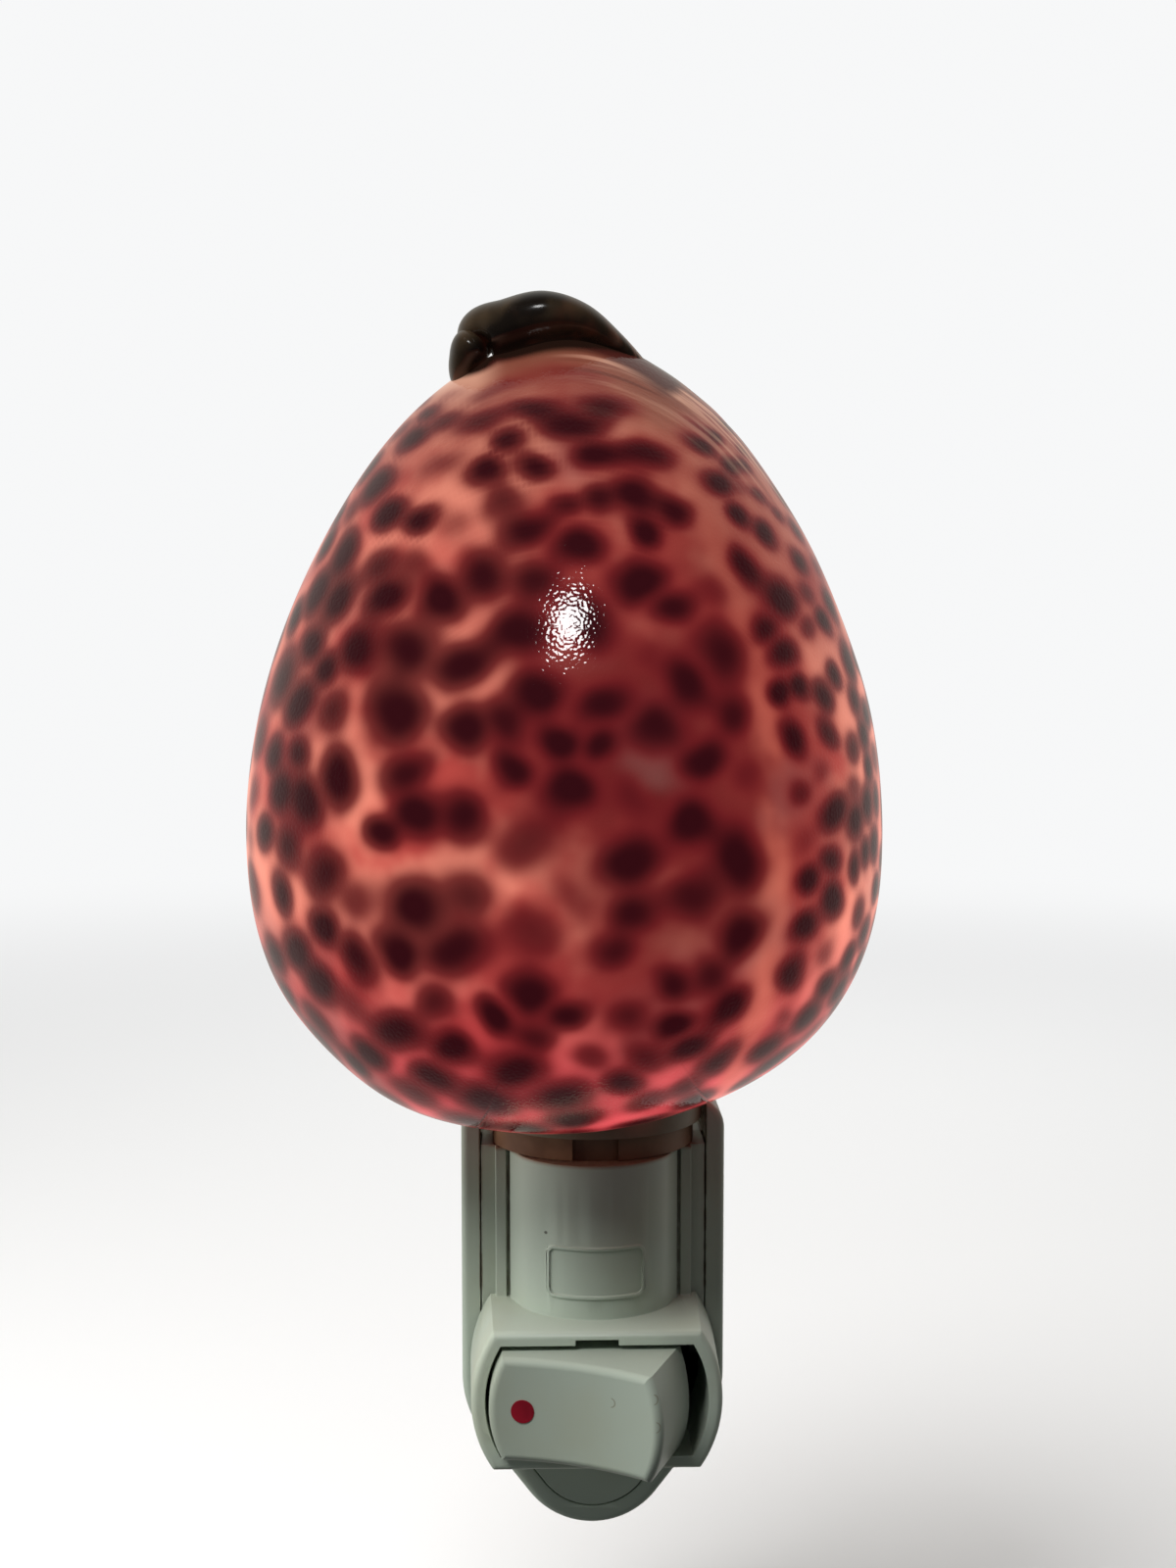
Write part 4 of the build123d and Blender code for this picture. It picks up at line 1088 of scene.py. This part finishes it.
def ivory_finish(name, marks, shade=1.0):
    """Slightly yellowed satin plastic with a fine mould texture, darkened by shade, and marked in front."""
    finish = Finish(name)
    patches = finish.noise(scale=70.0, detail=4.0)
    texture = finish.noise(scale=4200.0, detail=2.0)
    front = finish.mm("Y").smooth(*FRONT_ONLY)
    fresh, aged = (tuple(shade * part for part in srgb(*tone)) for tone in (IVORY, IVORY_AGED))
    colour = finish.mix(patches.smooth(*AGED_PATCHES) * AGED_SHARE, fresh, aged)
    finish.set(Base_Color=marks(finish, colour, front), Roughness=texture * 0.12 + 0.30,
               Specular_IOR_Level=0.4)
    return finish.bump(texture, strength=0.08, distance=0.05 * MM)


case_plastic = ivory_finish("ivory_case_plastic", case_wear_and_deck_shade)
rounded_copy("rear_housing", "base", case_plastic, REAR_EDGE)
rounded_copy("front_housing", "base", case_plastic, FRONT_EDGE)

# %% [markdown]
# ## The small parts
# The frame's other pieces keep their meshes and get a finish each. Brass has dulled in patches, and drawn
# metal keeps fine marks along the way it was drawn, so its noise is stretched or squeezed along one axis.
# Moulded and set materials need only two close colours in patches and a fine uneven surface. The glass
# has faint waves.

# %% Kinds of finish
DULL_PATCHES = (0.42, 0.7)
TONE_PATCHES = (0.35, 0.7)
FINER = 9
GLASS_CLEAR = srgb(255, 250, 242)
GLASS_WARM = srgb(250, 244, 232)
GLASS_IOR = 1.45
HOT_GLOW = (1.0, 0.55, 0.22)
HOT_STRENGTH = 6.0


def metal_finish(name, colour, dull, grain_along, rough):
    """Drawn or stamped metal: dull patches, and fine marks stretched along one axis."""
    finish = Finish(name)
    patches = finish.noise(scale=180.0, detail=4.0)
    marks = finish.noise(scale=900.0, detail=3.0, place=finish.stretched(grain_along))
    finish.set(Base_Color=finish.mix(patches.smooth(*DULL_PATCHES), srgb(*colour), srgb(*dull)),
               Metallic=1.0, Roughness=marks * 0.2 + patches * 0.12 + rough)
    return finish.bump(marks, strength=0.12, distance=0.02 * MM)


def plain_finish(name, colour, other, scale, rough, glow=None):
    """A plain moulded or set material: two close colours in patches. Given a glow, it shines by itself."""
    finish = Finish(name)
    patches = finish.noise(scale=scale, detail=4.0)
    fine = finish.noise(scale=scale * FINER, detail=2.0)
    finish.set(Base_Color=finish.mix(patches.smooth(*TONE_PATCHES), srgb(*colour), srgb(*other)),
               Roughness=fine * 0.15 + rough)
    if glow:
        cooler = tuple(0.8 * part for part in glow)
        finish.set(Emission_Color=finish.mix(patches, glow, cooler), Emission_Strength=HOT_STRENGTH)
    return finish.bump(fine, strength=0.1, distance=0.04 * MM)


def clear_finish(name):
    """Clear glass, with the faintest waves from blowing."""
    finish = Finish(name)
    waves = finish.noise(scale=120.0, detail=2.0)
    finish.set(Base_Color=finish.mix(waves, GLASS_CLEAR, GLASS_WARM), Roughness=waves * 0.02,
               Transmission_Weight=1.0, IOR=GLASS_IOR)
    return finish.bump(waves, strength=0.05, distance=0.05 * MM)


def dress(finish, nodes):
    """Gives frame nodes one finish in place of their own."""
    for node in nodes:
        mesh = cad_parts[node].data
        mesh.materials.clear()
        mesh.materials.append(finish.material)
    print(finish.material.name, "on", *nodes)


# %% [markdown]
# ## Which piece gets which finish
# Two tables hold what differs from one finish to the next: name, two screen colours, then how the marks
# are stretched (metals) or how many patches there are per metre (plain materials), roughness, and the
# pieces.

# %% Finish tables
EVEN = (1.0, 1.0, 1.0)
METALS = [
    ("dulled_brass", (196, 158, 92), (128, 92, 46), (1.0, 1.0, 6.0), 0.22,
     ("hot_strip", "neutral_strip", "pivot_bracket", "contact_lever", "centre_contact", "socket_shell",
      "blade_rivets")),
    ("plated_blade", (206, 200, 190), (168, 162, 150), (1.0, 0.15, 1.0), 0.2,
     ("hot_blade", "neutral_blade")),
    ("silver_contact", (220, 220, 218), (176, 172, 166), EVEN, 0.15, ("fixed_contact", "lever_contact")),
    ("zinc_steel", (178, 180, 184), (132, 134, 138), EVEN, 0.25,
     ("housing_screw", "rocker_pin", "plunger_spring", "lead_wires")),
    ("rolled_bulb_brass", (206, 176, 112), (150, 116, 62), (1.0, 1.0, 8.0), 0.18, ("bulb_cap",)),
    ("solder_tip", (168, 168, 170), (120, 120, 124), EVEN, 0.35, ("bulb_tip_contact",)),
]
PLAINS = [
    # Partly painted warm light and shade for the cove under the shell: the phenolic is a real brown drawn
    # lighter, the collar darker than the case's ivory, and the brass clip a plain, unmetallic brown.
    ("moulded_phenolic", (140, 104, 78), (116, 84, 62), 160.0, 0.4, ("socket_insulator", "plunger")),
    ("red_inlay", (150, 22, 40), (118, 14, 30), 300.0, 0.3, ("rocker_dot",)),
    ("pale_collar_ring", (150, 140, 118), (128, 114, 92), 120.0, 0.35, ("shade_collar",)),
    ("heat_browned_brass", (146, 108, 80), (116, 84, 62), 200.0, 0.4, ("shade_clip",)),
    ("black_glass_seal", (20, 20, 24), (34, 30, 30), 300.0, 0.08, ("bulb_insulator",)),
    ("dried_cement", (206, 190, 150), (170, 148, 104), 400.0, 0.6, ("glue_bead",)),
]

for *looks, nodes in METALS:
    dress(metal_finish(*looks), nodes)
for *looks, nodes in PLAINS:
    dress(plain_finish(*looks), nodes)
tungsten = plain_finish("glowing_tungsten", (60, 50, 44), (80, 66, 52), 400.0, 0.5, glow=HOT_GLOW)
dress(tungsten, ["filament"])
dress(clear_finish("bulb_glass"), ["bulb_glass", "bulb_stem"])
dress(ivory_finish("ivory_rocker_plastic", scuffed, ROCKER_SHADE), ["rocker"])
